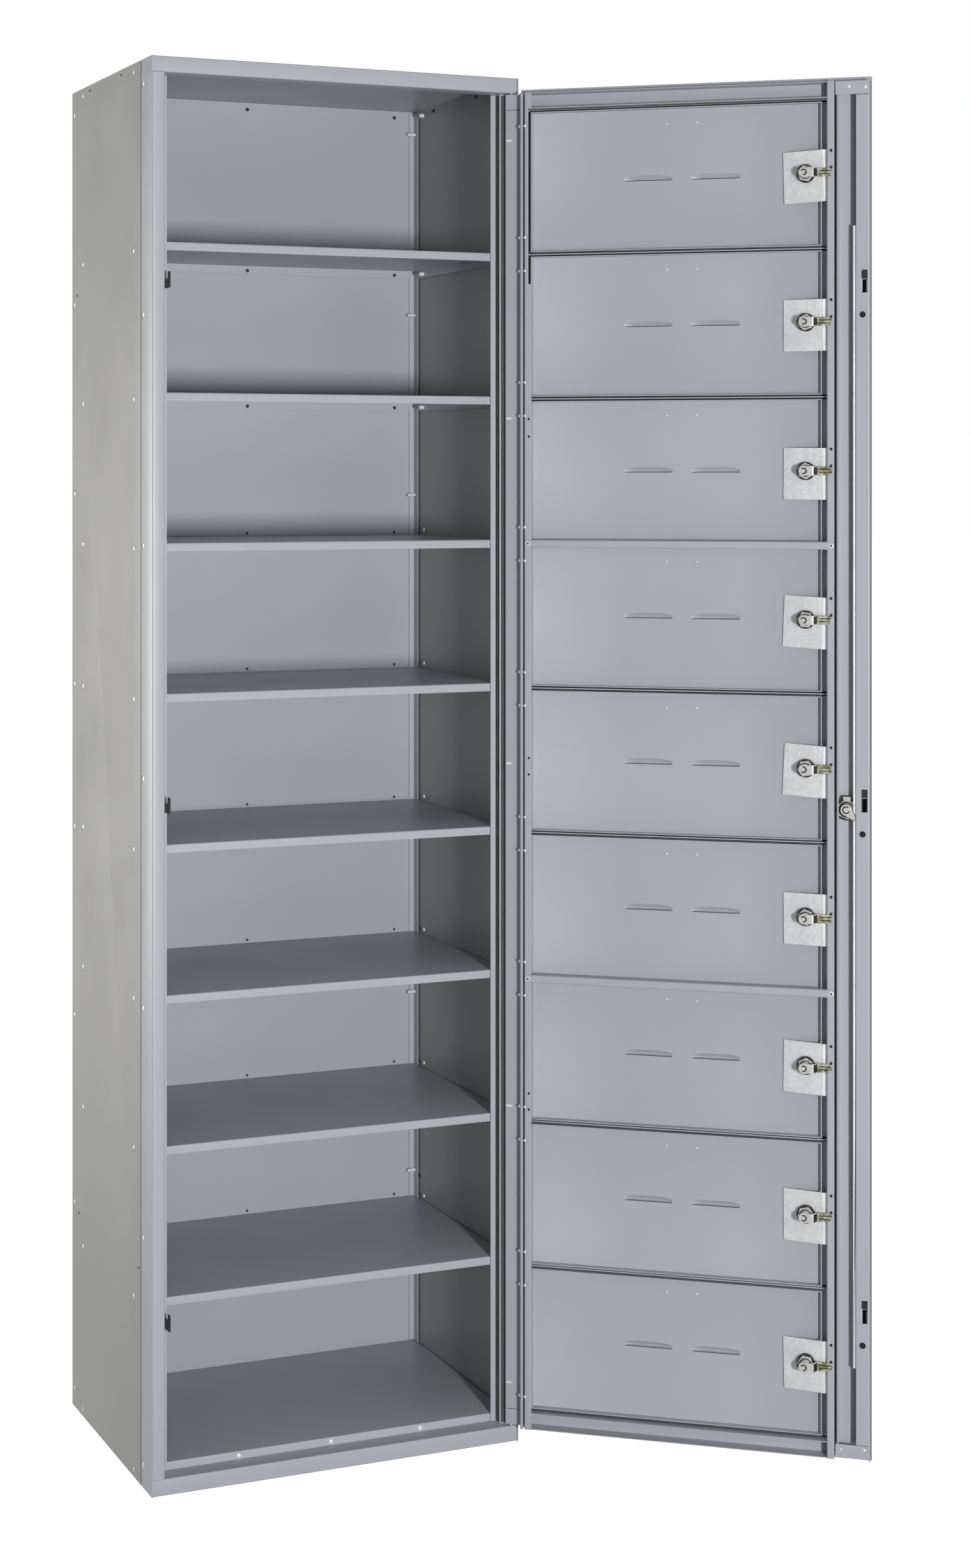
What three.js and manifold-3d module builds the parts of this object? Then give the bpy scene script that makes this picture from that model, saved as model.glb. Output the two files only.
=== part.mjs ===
// A parcel locker: a tall sheet-steel cabinet with nine compartments behind one master door,
// which carries nine small doors. Millimetres, +Z up, the front faces -Y. The origin is the
// middle of the base, on the floor. The master door stands open.

import * as THREE from 'three';
import { mergeVertices } from 'three/addons/utils/BufferGeometryUtils.js';
import Module from 'manifold-3d';

const wasm = await Module();
wasm.setup();

// Cabinet
const WIDTH = 595;
const DEPTH = 448;
const HEIGHT = 2134;
const SHEET = 1.5;
const GAP = 0.3;
const BAYS = 9;
const PITCH = 225.5;

// Side panels step inwards at the front, behind the jambs' side flanges
const PANEL_LAP = 15;
const PANEL_STEP_START = 1;
const PANEL_STEP_END = 4;

// Front frame: sill and header across the full width, jambs between them
const RAIL_FACE = 1.8;
const SILL_TOP = 25;
const HEADER_BOTTOM = 2110;
const JAMB_FACE = 20;
const JAMB_SIDE = 55.7;
const STOP_FRONT = 33;
const STOP_INNER_LEFT = 33;
const STOP_INNER_RIGHT = 562;
const REVEAL_RIGHT = 570.5;
const RECESS_RIGHT = 17;
const FRAME_DEPTH = 34.5;

// Shelves
const SHELF_FRONT = 36;
const SHELF_LIP = 12.7;
const SHELF_FLANGE = 15;
const SHELF_SHEET = 1.2;
const TOP_SHELF = 1862;
const FLOOR_TOP = 37;
const BACK_FRONT = 424.5;
const BACK_FLANGE = 446;

// Master door, as it lies when closed
const PIVOT = new THREE.Vector2(585, 5.65);
const PIN_RADIUS = 2;
const PIN_ENGAGED = 12;
const PIN_FOOT = { thick: 3, half: 7, back: 14 };
const OPEN_ANGLE = 141;
const DOOR_LEFT = 21.5;
const DOOR_RIGHT = 594;
const DOOR_BOTTOM = 27.5;
const DOOR_TOP = 2108;
const DOOR_DEEP = 27;
const SKIN_BOTTOM = 21.5;
const SKIN_TOP = 2116;
const SKIN_NOTCH = 570;
const HINGE_EDGE_DEEP = 9.5;
const HINGE_STEP = 564;
const HINGE_LIP_END = 560.3;
const HINGE_SKIN_END = 557;
const HINGE_STRIP_END = 547;
const LOCK_LIP_END = 42;
const LOCK_SKIN_END = 86.5;
const LATCH_LIP_END = 75;
const LIP_TOP = 2086;
const LIP_BOTTOM = 52;
const RAIL_GAP_TOP = 2083;
const RAIL_GAP_BOTTOM = 52.5;
const MID_RAIL_HALF = 6;
const MID_RAIL_FRONT = 14.5;

// Small doors in the master door
const SMALL_LEFT = 88.5;
const SMALL_FLANGE = 96;
const SMALL_RIGHT = 551.5;
const SMALL_DEEP = 13.5;
const SMALL_GAP = 3;
const TOP_GAP_CENTRE = 1857;
const SMALL_AXIS = new THREE.Vector2(554.2, -2);
const SMALL_ROD_RADIUS = 2;

// Cam locks
const BARREL_RADIUS = 9.5;
const BARREL_FRONT = -2;
const HEAD_RADIUS = 12;
const HEAD_FRONT = -3;
const NUT_RADIUS = 12.8;
const NUT_THICK = 5;
const LOCK_HOLE_RADIUS = 10;
const LOCK_X = 119.5;
const LOCK_END = 38;
const LOCK_DROP = 111;
const PLATE_RIGHT = 156;
const PLATE_ABOVE = 35;
const PLATE_BELOW = 43.5;
const PLATE_FRONT = 17.5;
const PLATE_BACK = 19.5;
const CAM_THICK = 2;
const CAM_TIP_X = 78;
const CAM_HALF = 7;
const CAM_STEP = [101.5, 105.5];
const CAM_ROOT_SHARE = 0.9;
const MASTER_LOCK = new THREE.Vector2(57.5, 1007.4);
const MASTER_CAM_REACH = 20.2;
const MASTER_CAM_ANGLE = 48;
const MASTER_CAM_TIP_HALF = 3;
const MASTER_NUT_BACK = 18.5;

// Lock bar and the catches that it holds
const SLOT_BOTTOMS = [1787.5, 1005, 235.5];
const SLOT_TALL = 34.5;
const LIP_SLOT = [25, 34];
const BAR_SLOT = [27, 33.5];
const BAR_DROP = 14;
const BAR = { left: 24, right: 47, front: 20, back: 22.5, bottom: 166, top: 1889 };
const LIP_HOLE_RADIUS = 4.8;
const LIP_HOLE_X = 32.5;
const LIP_HOLE_DROP = 33;
const CATCH = {
  left: 29, right: 31.5, tip: 9, finger: 8, taper: 1, chamfer: 2, nose: 4, above: 4, notch: 14, tall: 24,
};

// Round parts, sides to a circle
const ROUND = 24;
const ROUND_SMALL = 16;
const HEXAGON = 6;

const paint = { color: 0xb2b6bd, roughness: 0.45, metalness: 0.1 };
const shade = { color: 0xa6a6a4, roughness: 0.5, metalness: 0.1 };
const zinc = { color: 0xc9ccd0, roughness: 0.35, metalness: 0.9 };
const brass = { color: 0xc8bf95, roughness: 0.35, metalness: 0.9 };
const darkSteel = { color: 0x2e2e30, roughness: 0.5, metalness: 0.8 };

const radians = THREE.MathUtils.degToRad;

// Shapes -----------------------------------------------------------------------------------

function box(x0, x1, y0, y1, z0, z1) {
  const geometry = new THREE.BoxGeometry(x1 - x0, y1 - y0, z1 - z0);
  return geometry.translate((x0 + x1) / 2, (y0 + y1) / 2, (z0 + z1) / 2);
}

// The outline of bent sheet of one thickness, whose middle line is the list of [x, y] points.
function bentSheet(points, thickness = SHEET) {
  const middle = points.map(([x, y]) => new THREE.Vector2(x, y));
  const offset = (side) => middle.map((point, i) => {
    const before = middle[i - 1] ?? point;
    const after = middle[i + 1] ?? point;
    const incoming = point.clone().sub(before).normalize();
    const outgoing = after.clone().sub(point).normalize();
    const normals = [incoming, outgoing]
      .filter((direction) => direction.lengthSq() > 0)
      .map((direction) => new THREE.Vector2(-direction.y, direction.x));
    const mitre = normals[0].clone().add(normals[normals.length - 1]).normalize();
    const reach = side * thickness / 2 / mitre.dot(normals[0]);
    return point.clone().addScaledVector(mitre, reach);
  });
  return new THREE.Shape([...offset(1), ...offset(-1).reverse()]);
}

function outlineOf(points) {
  return new THREE.Shape(points.map(([x, y]) => new THREE.Vector2(x, y)));
}

function rectangle(x0, x1, y0, y1) {
  return outlineOf([[x0, y0], [x1, y0], [x1, y1], [x0, y1]]);
}

function extrude(shape, depth) {
  return new THREE.ExtrudeGeometry(shape, { depth, bevelEnabled: false });
}

// A section drawn in X and Y, standing between two heights.
function upright(shape, z0, z1) {
  return extrude(shape, z1 - z0).translate(0, 0, z0);
}

// A section drawn in Y and Z, running between two X positions.
function crosswise(shape, x0, x1) {
  const turn = new THREE.Matrix4().makeBasis(
    new THREE.Vector3(0, 1, 0),
    new THREE.Vector3(0, 0, 1),
    new THREE.Vector3(1, 0, 0),
  );
  return extrude(shape, x1 - x0).applyMatrix4(turn).translate(x0, 0, 0);
}

// An outline drawn in X and Z, between two Y positions.
function facing(shape, y0, y1) {
  const turn = new THREE.Matrix4().makeBasis(
    new THREE.Vector3(1, 0, 0),
    new THREE.Vector3(0, 0, 1),
    new THREE.Vector3(0, -1, 0),
  );
  return extrude(shape, y1 - y0).applyMatrix4(turn).translate(0, y1, 0);
}

// A round or hexagonal rod along Y, centred on an [x, z] point.
function rodAlongY(centre, radius, y0, y1, sides = ROUND) {
  const geometry = new THREE.CylinderGeometry(radius, radius, y1 - y0, sides);
  return geometry.translate(centre.x, (y0 + y1) / 2, centre.y);
}

function rodAlongZ(centre, radius, z0, z1, sides = ROUND_SMALL) {
  const geometry = new THREE.CylinderGeometry(radius, radius, z1 - z0, sides);
  return geometry.rotateX(Math.PI / 2).translate(centre.x, centre.y, (z0 + z1) / 2);
}

// Joining and cutting ----------------------------------------------------------------------

function toSolid(geometry) {
  const bare = geometry.clone();
  bare.deleteAttribute('normal');
  bare.deleteAttribute('uv');
  const merged = mergeVertices(bare, 1e-4);
  const mesh = new wasm.Mesh({
    numProp: 3,
    vertProperties: new Float32Array(merged.attributes.position.array),
    triVerts: new Uint32Array(merged.index.array),
  });
  return new wasm.Manifold(mesh);
}

function toGeometry(solid) {
  const mesh = solid.getMesh();
  const geometry = new THREE.BufferGeometry();
  geometry.setAttribute('position', new THREE.BufferAttribute(mesh.vertProperties, 3));
  geometry.setIndex(new THREE.BufferAttribute(mesh.triVerts, 1));
  return geometry;
}

// The pieces as one solid, less the cuts, plus what is added after cutting.
function join(pieces, cuts = [], added = []) {
  const whole = pieces.map(toSolid).reduce((sum, piece) => sum.add(piece));
  const rest = cuts.map(toSolid).reduce((left, cut) => left.subtract(cut), whole);
  return toGeometry(added.map(toSolid).reduce((sum, piece) => sum.add(piece), rest));
}

function addMesh(parent, name, geometry, look) {
  const mesh = new THREE.Mesh(geometry, new THREE.MeshStandardMaterial(look));
  mesh.name = name;
  parent.add(mesh);
  return mesh;
}

// Cabinet ----------------------------------------------------------------------------------

// The panel's front edge steps inwards behind the jamb's side flange.
function sidePanel(mirror) {
  const outer = SHEET / 2;
  const inner = outer + SHEET + GAP;
  const lap = JAMB_SIDE + 2 * GAP;
  const path = [
    [outer, DEPTH],
    [outer, lap + PANEL_STEP_END],
    [inner, lap + PANEL_STEP_START],
    [inner, JAMB_SIDE - PANEL_LAP],
  ];
  const points = mirror ? path.map(([x, y]) => [WIDTH - x, y]) : path;
  const left = mirror ? WIDTH - SHEET : 0;
  return join([
    upright(bentSheet(points), SILL_TOP, HEADER_BOTTOM),
    box(left, left + SHEET, lap, DEPTH, 0, HEIGHT),
  ]);
}

function backPanel() {
  const left = SHEET + GAP;
  const right = WIDTH - left;
  const top = HEIGHT - SHEET - GAP;
  const bottom = SHEET + GAP;
  const tray = box(left, right, BACK_FRONT, BACK_FLANGE, bottom, top);
  const hollow = box(
    left + SHEET, right - SHEET, BACK_FRONT + SHEET, BACK_FLANGE + SHEET, bottom + SHEET, top - SHEET,
  );
  return join([tray], [hollow]);
}

function coverPanel(z0, z1) {
  const left = SHEET + GAP;
  return box(left, WIDTH - left, FRAME_DEPTH + GAP, DEPTH, z0, z1);
}

// A tray turned upside down, whose front lip is shorter than its other flanges.
function shelf(top) {
  const left = 2 * SHEET + 2 * GAP;
  const right = WIDTH - left;
  const back = BACK_FRONT - GAP;
  const thick = SHELF_SHEET;
  const low = top - SHELF_FLANGE;
  const lipFront = SHELF_FRONT - thick;
  const lipBack = SHELF_FRONT + thick;
  const tray = box(left, right, SHELF_FRONT, back, low, top);
  const hollow = box(left + thick, right - thick, lipBack, back - thick, low - thick, top - thick);
  const belowLip = box(left - thick, right + thick, lipFront, lipBack + thick, low - thick, top - SHELF_LIP);
  return join([tray], [hollow, belowLip]);
}

// A channel across the front, set back by the thickness of the door's skin and open to the back,
// with a hole for the door's pivot pin.
function frameRail(z0, z1, holeZ) {
  const front = RAIL_FACE + SHEET / 2;
  const path = [
    [FRAME_DEPTH, z0 + SHEET / 2],
    [front, z0 + SHEET / 2],
    [front, z1 - SHEET / 2],
    [FRAME_DEPTH, z1 - SHEET / 2],
  ];
  const end = SHEET + GAP;
  const rail = crosswise(bentSheet(path), end, WIDTH - end);
  return join([rail], [rodAlongZ(PIVOT, PIN_RADIUS + GAP, holeZ - 2 * SHEET, holeZ + 2 * SHEET)]);
}

function leftJamb() {
  const half = SHEET / 2;
  const path = [
    [half, JAMB_SIDE],
    [half, half],
    [JAMB_FACE - half, half],
    [JAMB_FACE - half, STOP_FRONT + half],
    [STOP_INNER_LEFT, STOP_FRONT + half],
  ];
  return join([
    upright(bentSheet(path), SILL_TOP + GAP, HEADER_BOTTOM - GAP),
    box(0, SHEET, 0, JAMB_SIDE, 0, HEIGHT),
  ]);
}

// Set back, so that the hinge edge of the door can turn in front of it.
function rightJamb() {
  const half = SHEET / 2;
  const path = [
    [WIDTH - half, JAMB_SIDE],
    [WIDTH - half, RECESS_RIGHT + half],
    [REVEAL_RIGHT + half, RECESS_RIGHT + half],
    [REVEAL_RIGHT + half, STOP_FRONT + half],
    [STOP_INNER_RIGHT, STOP_FRONT + half],
  ];
  return join([
    upright(bentSheet(path), SILL_TOP + GAP, HEADER_BOTTOM - GAP),
    box(WIDTH - SHEET, WIDTH, RECESS_RIGHT, JAMB_SIDE, 0, HEIGHT),
    box(WIDTH - SHEET, WIDTH, 0, JAMB_SIDE, 0, SILL_TOP),
    box(WIDTH - SHEET, WIDTH, 0, JAMB_SIDE, HEADER_BOTTOM, HEIGHT),
  ]);
}

// A flat hook in the Y-Z plane, whose finger points up.
function catchHook(slotBottom) {
  const foot = STOP_FRONT - GAP;
  const bottom = slotBottom + CATCH.above;
  const notch = bottom + CATCH.notch;
  const top = bottom + CATCH.tall;
  const root = CATCH.tip + CATCH.finger;
  const outline = outlineOf([
    [CATCH.tip, bottom],
    [foot, bottom],
    [foot, notch],
    [root, notch],
    [root - CATCH.taper, top],
    [CATCH.tip + CATCH.chamfer, top],
    [CATCH.tip, top - CATCH.nose],
  ]);
  return crosswise(outline, CATCH.left, CATCH.right);
}

// A pin on a foot that lies inside the frame's channel. It runs from the foot's far face,
// through the channel's flange, to its tip in the end of the door's stile.
function pivotPin(footStart, tip) {
  const up = Math.sign(footStart - tip);
  const footEnd = footStart - up * PIN_FOOT.thick;
  const low = Math.min(footStart, tip);
  const high = Math.max(footStart, tip);
  const footLow = Math.min(footStart, footEnd);
  const { half, back } = PIN_FOOT;
  return join([
    rodAlongZ(PIVOT, PIN_RADIUS, low, high),
    box(PIVOT.x - half, PIVOT.x + half, RAIL_FACE + SHEET + GAP, back, footLow, footLow + PIN_FOOT.thick),
  ]);
}

function buildCabinet(parent) {
  addMesh(parent, 'left_side_panel', sidePanel(false), shade);
  addMesh(parent, 'right_side_panel', sidePanel(true), shade);
  addMesh(parent, 'back_panel', backPanel(), paint);
  addMesh(parent, 'top_panel', coverPanel(HEIGHT - SHEET, HEIGHT), paint);
  addMesh(parent, 'bottom_panel', coverPanel(0, SHEET), paint);
  addMesh(parent, 'floor_shelf', shelf(FLOOR_TOP), paint);
  for (let i = 0; i < BAYS - 1; i += 1) {
    addMesh(parent, `shelf_${i + 1}`, shelf(TOP_SHELF - i * PITCH), paint);
  }
  addMesh(parent, 'header', frameRail(HEADER_BOTTOM, HEIGHT, HEADER_BOTTOM), paint);
  addMesh(parent, 'sill', frameRail(0, SILL_TOP, SILL_TOP), paint);
  addMesh(parent, 'left_jamb', leftJamb(), paint);
  addMesh(parent, 'right_jamb', rightJamb(), paint);
  SLOT_BOTTOMS.forEach((bottom, i) => addMesh(parent, `catch_${i + 1}`, catchHook(bottom), darkSteel));
  const footReach = SHEET + GAP + PIN_FOOT.thick;
  addMesh(parent, 'top_pivot_pin', pivotPin(HEADER_BOTTOM + footReach, DOOR_TOP - PIN_ENGAGED), zinc);
  addMesh(parent, 'bottom_pivot_pin', pivotPin(SILL_TOP - footReach, DOOR_BOTTOM + PIN_ENGAGED), zinc);
}

// Master door ------------------------------------------------------------------------------

// The door's skin stands proud of its top and bottom, where it covers the header and the sill.
function skinEdges(x0, x1) {
  return [
    box(x0, x1, 0, SHEET, DOOR_TOP - SHEET, SKIN_TOP),
    box(x0, x1, 0, SHEET, SKIN_BOTTOM, DOOR_BOTTOM + SHEET),
  ];
}

// A stile that is shallow at its edge, where it turns in front of the jamb.
function hingeStile() {
  const half = SHEET / 2;
  const path = [
    [HINGE_STRIP_END, DOOR_DEEP - half],
    [HINGE_SKIN_END + half, DOOR_DEEP - half],
    [HINGE_SKIN_END + half, half],
    [DOOR_RIGHT - half, half],
    [DOOR_RIGHT - half, HINGE_EDGE_DEEP - half],
    [HINGE_STEP + half, HINGE_EDGE_DEEP - half],
    [HINGE_STEP + half, DOOR_DEEP - half],
    [HINGE_LIP_END, DOOR_DEEP - half],
  ];
  const capLeft = HINGE_STEP + SHEET;
  const cap = (z0, z1) => box(capLeft - half, DOOR_RIGHT - half, half, HINGE_EDGE_DEEP - half, z0, z1);
  const hole = (z) => rodAlongZ(PIVOT, PIN_RADIUS + GAP, z - 2 * SHEET, z + 2 * SHEET);
  return join(
    [
      upright(bentSheet(path), DOOR_BOTTOM, DOOR_TOP),
      cap(DOOR_TOP - SHEET, DOOR_TOP),
      cap(DOOR_BOTTOM, DOOR_BOTTOM + SHEET),
      ...skinEdges(HINGE_SKIN_END, SKIN_NOTCH),
    ],
    [hole(DOOR_TOP), hole(DOOR_BOTTOM)],
  );
}

// A lipped channel: the outer lip hides the lock bar, the inner lip is what the cams latch behind.
function lockStile() {
  const half = SHEET / 2;
  const path = [
    [LOCK_LIP_END, DOOR_DEEP - half],
    [DOOR_LEFT + half, DOOR_DEEP - half],
    [DOOR_LEFT + half, half],
    [LOCK_SKIN_END - half, half],
    [LOCK_SKIN_END - half, DOOR_DEEP - half],
    [LATCH_LIP_END, DOOR_DEEP - half],
  ];
  const lipFront = DOOR_DEEP - 2 * SHEET;
  const lipBack = DOOR_DEEP + SHEET;
  const slots = SLOT_BOTTOMS.map((z) => box(LIP_SLOT[0], LIP_SLOT[1], lipFront, lipBack, z, z + SLOT_TALL));
  const holes = SLOT_BOTTOMS.map((z) => {
    const centre = new THREE.Vector2(LIP_HOLE_X, z - LIP_HOLE_DROP);
    return rodAlongY(centre, LIP_HOLE_RADIUS, lipFront, lipBack, ROUND_SMALL);
  });
  const lockHole = rodAlongY(MASTER_LOCK, LOCK_HOLE_RADIUS, -SHEET, 2 * SHEET);
  const notch = (z0, z1) => box(DOOR_LEFT + SHEET, LOCK_LIP_END + SHEET, lipFront, lipBack, z0, z1);
  const notches = [notch(LIP_TOP, DOOR_TOP + SHEET), notch(DOOR_BOTTOM - SHEET, LIP_BOTTOM)];
  const capBack = DOOR_DEEP - SHEET - GAP;
  const cap = (z0, z1) => box(DOOR_LEFT + half, LOCK_SKIN_END - half, half, capBack, z0, z1);
  return join(
    [
      upright(bentSheet(path), DOOR_BOTTOM, DOOR_TOP),
      ...skinEdges(DOOR_LEFT, LOCK_SKIN_END),
    ],
    [...slots, ...holes, lockHole, ...notches],
    [cap(DOOR_TOP - SHEET, DOOR_TOP), cap(DOOR_BOTTOM, DOOR_BOTTOM + SHEET)],
  );
}

// A channel between the stiles: a face strip, which runs on to the skin's edge, with a ledge along
// the small door and a flange that closes the door's end.
function endRail(inner, outer, skinEdge) {
  const half = Math.sign(outer - inner) * SHEET / 2;
  const back = DOOR_DEEP - SHEET - GAP;
  const path = [
    [back, inner + half],
    [SHEET / 2, inner + half],
    [SHEET / 2, outer - half],
    [back, outer - half],
  ];
  const left = LOCK_SKIN_END + GAP;
  const right = HINGE_SKIN_END - GAP;
  const low = Math.min(outer - half, skinEdge);
  const high = Math.max(outer - half, skinEdge);
  return join([crosswise(bentSheet(path), left, right), box(left, right, 0, SHEET, low, high)]);
}

// A channel behind the joint of two small doors, with a strip that laps both stiles.
function midRail(centre) {
  const strip = DOOR_DEEP + GAP;
  const left = LOCK_SKIN_END + GAP;
  const right = HINGE_STRIP_END - GAP;
  const path = [
    [MID_RAIL_FRONT, centre + MID_RAIL_HALF - SHEET / 2],
    [strip + SHEET / 2, centre + MID_RAIL_HALF - SHEET / 2],
    [strip + SHEET / 2, centre - MID_RAIL_HALF + SHEET / 2],
    [MID_RAIL_FRONT, centre - MID_RAIL_HALF + SHEET / 2],
  ];
  const low = centre - MID_RAIL_HALF;
  const high = centre + MID_RAIL_HALF;
  return join([
    crosswise(bentSheet(path), left, right),
    box(LATCH_LIP_END, HINGE_SKIN_END, strip, strip + SHEET, low, high),
  ]);
}

function lockBar() {
  const outline = rectangle(BAR.left, BAR.right, BAR.bottom, BAR.top);
  SLOT_BOTTOMS.forEach((bottom) => {
    const low = bottom - BAR_DROP;
    outline.holes.push(rectangle(BAR_SLOT[0], BAR_SLOT[1], low, low + SLOT_TALL));
  });
  return facing(outline, BAR.front, BAR.back);
}

// A keyed barrel with a head outside the door and a hexagonal nut inside.
function barrel(centre, end, nutFront, nutBack) {
  return [
    rodAlongY(centre, BARREL_RADIUS, BARREL_FRONT, end),
    rodAlongY(centre, HEAD_RADIUS, HEAD_FRONT, -GAP),
    rodAlongY(centre, NUT_RADIUS, nutFront, nutBack, HEXAGON),
  ];
}

// A cam that steps from the end of its barrel down to the latch lip, where it ends flat.
function steppedCam(centre) {
  const low = DOOR_DEEP + 2 * GAP + CAM_THICK / 2;
  const high = LOCK_END + GAP + CAM_THICK / 2;
  const path = [[CAM_TIP_X, low], [CAM_STEP[0], low], [CAM_STEP[1], high], [centre.x, high]];
  return join([
    rodAlongY(centre, BARREL_RADIUS, high - CAM_THICK / 2, high + CAM_THICK / 2),
    upright(bentSheet(path, CAM_THICK), centre.y - CAM_HALF, centre.y + CAM_HALF),
  ]);
}

// A flat cam: a round hub and an arm that tapers to its tip, drawn in X and Z.
function flatCam(centre, tip, tipHalf, front) {
  const back = front + CAM_THICK;
  const rootHalf = BARREL_RADIUS * CAM_ROOT_SHARE;
  const along = tip.clone().sub(centre).normalize();
  const across = new THREE.Vector2(-along.y, along.x);
  const side = (from, reach) => from.clone().addScaledVector(across, reach);
  const arm = new THREE.Shape([
    side(centre, rootHalf),
    side(tip, tipHalf),
    side(tip, -tipHalf),
    side(centre, -rootHalf),
  ]);
  return join([rodAlongY(centre, BARREL_RADIUS, front, back), facing(arm, front, back)]);
}

// A shallow tray, open to the inside, with a hole for its lock. Its skin runs on past the flange
// on the lock side.
function smallDoor(bottom, top, lockCentre) {
  const left = SMALL_FLANGE;
  const right = SMALL_RIGHT;
  const tray = box(left, right, 0, SMALL_DEEP, bottom, top);
  const skin = box(SMALL_LEFT, left + SHEET, 0, SHEET, bottom, top);
  const hollow = box(left + SHEET, right - SHEET, SHEET, SMALL_DEEP + SHEET, bottom + SHEET, top - SHEET);
  const hole = rodAlongY(lockCentre, LOCK_HOLE_RADIUS, -SHEET, 2 * SHEET);
  return join([tray, skin], [hollow, hole]);
}

// The lock and the plate that carries it, which stands on two legs on the door's inner face.
function smallLock(centre) {
  const low = centre.y - PLATE_BELOW;
  const high = centre.y + PLATE_ABOVE;
  const legFoot = SHEET + GAP;
  const leftLeg = SMALL_FLANGE + SHEET + GAP;
  return join([
    box(SMALL_LEFT, PLATE_RIGHT, PLATE_FRONT, PLATE_BACK, low, high),
    box(PLATE_RIGHT - SHEET, PLATE_RIGHT, legFoot, PLATE_BACK, low, high),
    box(leftLeg, leftLeg + SHEET, legFoot, PLATE_BACK, low, high),
    ...barrel(centre, LOCK_END, PLATE_FRONT, PLATE_BACK + NUT_THICK),
  ]);
}

function buildSmallDoors(parent) {
  for (let i = 0; i < BAYS; i += 1) {
    const bottom = TOP_GAP_CENTRE + SMALL_GAP / 2 - i * PITCH;
    const top = bottom + PITCH - SMALL_GAP;
    const centre = new THREE.Vector2(LOCK_X, top - LOCK_DROP);
    addMesh(parent, `small_door_${i + 1}`, smallDoor(bottom, top, centre), paint);
    addMesh(parent, `small_lock_${i + 1}`, smallLock(centre), zinc);
    addMesh(parent, `small_cam_${i + 1}`, steppedCam(centre), brass);
  }
}

function buildMasterDoor(parent) {
  const gapCentre = (below) => TOP_GAP_CENTRE - (below - 1) * PITCH;
  addMesh(parent, 'hinge_stile', hingeStile(), paint);
  addMesh(parent, 'lock_stile', lockStile(), paint);
  addMesh(parent, 'door_top_rail', endRail(RAIL_GAP_TOP, DOOR_TOP, SKIN_TOP), paint);
  addMesh(parent, 'door_bottom_rail', endRail(RAIL_GAP_BOTTOM, DOOR_BOTTOM, SKIN_BOTTOM), paint);
  addMesh(parent, 'upper_mid_rail', midRail(gapCentre(3)), paint);
  addMesh(parent, 'lower_mid_rail', midRail(gapCentre(6)), paint);
  const rod = rodAlongZ(SMALL_AXIS, SMALL_ROD_RADIUS, RAIL_GAP_BOTTOM, RAIL_GAP_TOP);
  addMesh(parent, 'small_door_hinge_rod', rod, zinc);
  addMesh(parent, 'lock_bar', lockBar(), zinc);
  addMesh(parent, 'master_lock', join(barrel(MASTER_LOCK, BAR.back, SHEET + GAP, MASTER_NUT_BACK)), zinc);
  const drop = radians(MASTER_CAM_ANGLE);
  const reach = new THREE.Vector2(-Math.cos(drop), -Math.sin(drop)).multiplyScalar(MASTER_CAM_REACH);
  const tip = MASTER_LOCK.clone().add(reach);
  const cam = flatCam(MASTER_LOCK, tip, MASTER_CAM_TIP_HALF, BAR.back + GAP);
  addMesh(parent, 'master_cam', cam, brass);
  buildSmallDoors(parent);
}

// Assembly ---------------------------------------------------------------------------------

const locker = new THREE.Group();
const cabinet = new THREE.Group();
cabinet.position.set(-WIDTH / 2, -DEPTH / 2, 0);
locker.add(cabinet);
buildCabinet(cabinet);

const doorSwing = new THREE.Group();
doorSwing.position.set(PIVOT.x, PIVOT.y, 0);
doorSwing.rotation.z = radians(OPEN_ANGLE);
cabinet.add(doorSwing);

const masterDoor = new THREE.Group();
masterDoor.position.set(-PIVOT.x, -PIVOT.y, 0);
doorSwing.add(masterDoor);
buildMasterDoor(masterDoor);

export default locker;
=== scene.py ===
"""A parcel locker with its master door open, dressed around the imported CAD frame."""

import math

import bmesh
import bpy
from mathutils import Matrix, Vector


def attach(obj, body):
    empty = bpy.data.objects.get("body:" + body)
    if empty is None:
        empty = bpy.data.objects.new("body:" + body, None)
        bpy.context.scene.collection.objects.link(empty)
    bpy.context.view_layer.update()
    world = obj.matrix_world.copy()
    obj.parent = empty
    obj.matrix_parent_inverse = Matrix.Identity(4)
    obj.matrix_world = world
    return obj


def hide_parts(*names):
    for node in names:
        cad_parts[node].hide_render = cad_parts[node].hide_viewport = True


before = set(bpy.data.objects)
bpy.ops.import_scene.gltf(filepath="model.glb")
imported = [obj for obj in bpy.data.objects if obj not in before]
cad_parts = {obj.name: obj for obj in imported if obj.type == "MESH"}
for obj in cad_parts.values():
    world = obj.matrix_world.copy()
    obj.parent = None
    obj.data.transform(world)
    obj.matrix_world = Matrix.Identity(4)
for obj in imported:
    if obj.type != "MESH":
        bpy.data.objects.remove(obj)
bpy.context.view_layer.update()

# Sizes in millimetres. Cabinet pieces are drawn with the origin at the cabinet's front left
# corner, door pieces as the closed door lies.
WIDTH, DEPTH, HEIGHT = 595, 448, 2134
T = 1.5
HALF = T / 2
GAP = 0.3
BAYS = range(9)
PITCH = 225.5
PIVOT = (585, 5.65)
OPEN_ANGLE = math.radians(141)
SILL_TOP, HEADER_BOTTOM = 25, 2110
FRAME_FACE = 1.8
FRAME_DEEP = 34.5
JAMB_SIDE = 54.4
LEFT_JAMB_WIDE, LEFT_STOP_END = 20, 33
RIGHT_JAMB_LEFT, RIGHT_JAMB_FRONT, RIGHT_STOP_END = 570.5, 17, 562
STOP_FRONT = 33
HAIR = 0.02
SHELF_TOPS = [1862 - PITCH * i for i in range(8)]
SHELF_SHEET, SHELF_LIP, SHELF_FLANGE = 1.2, 12.7, 15
SHELF_FRONT, SHELF_BACK = 36, 424.2
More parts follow.
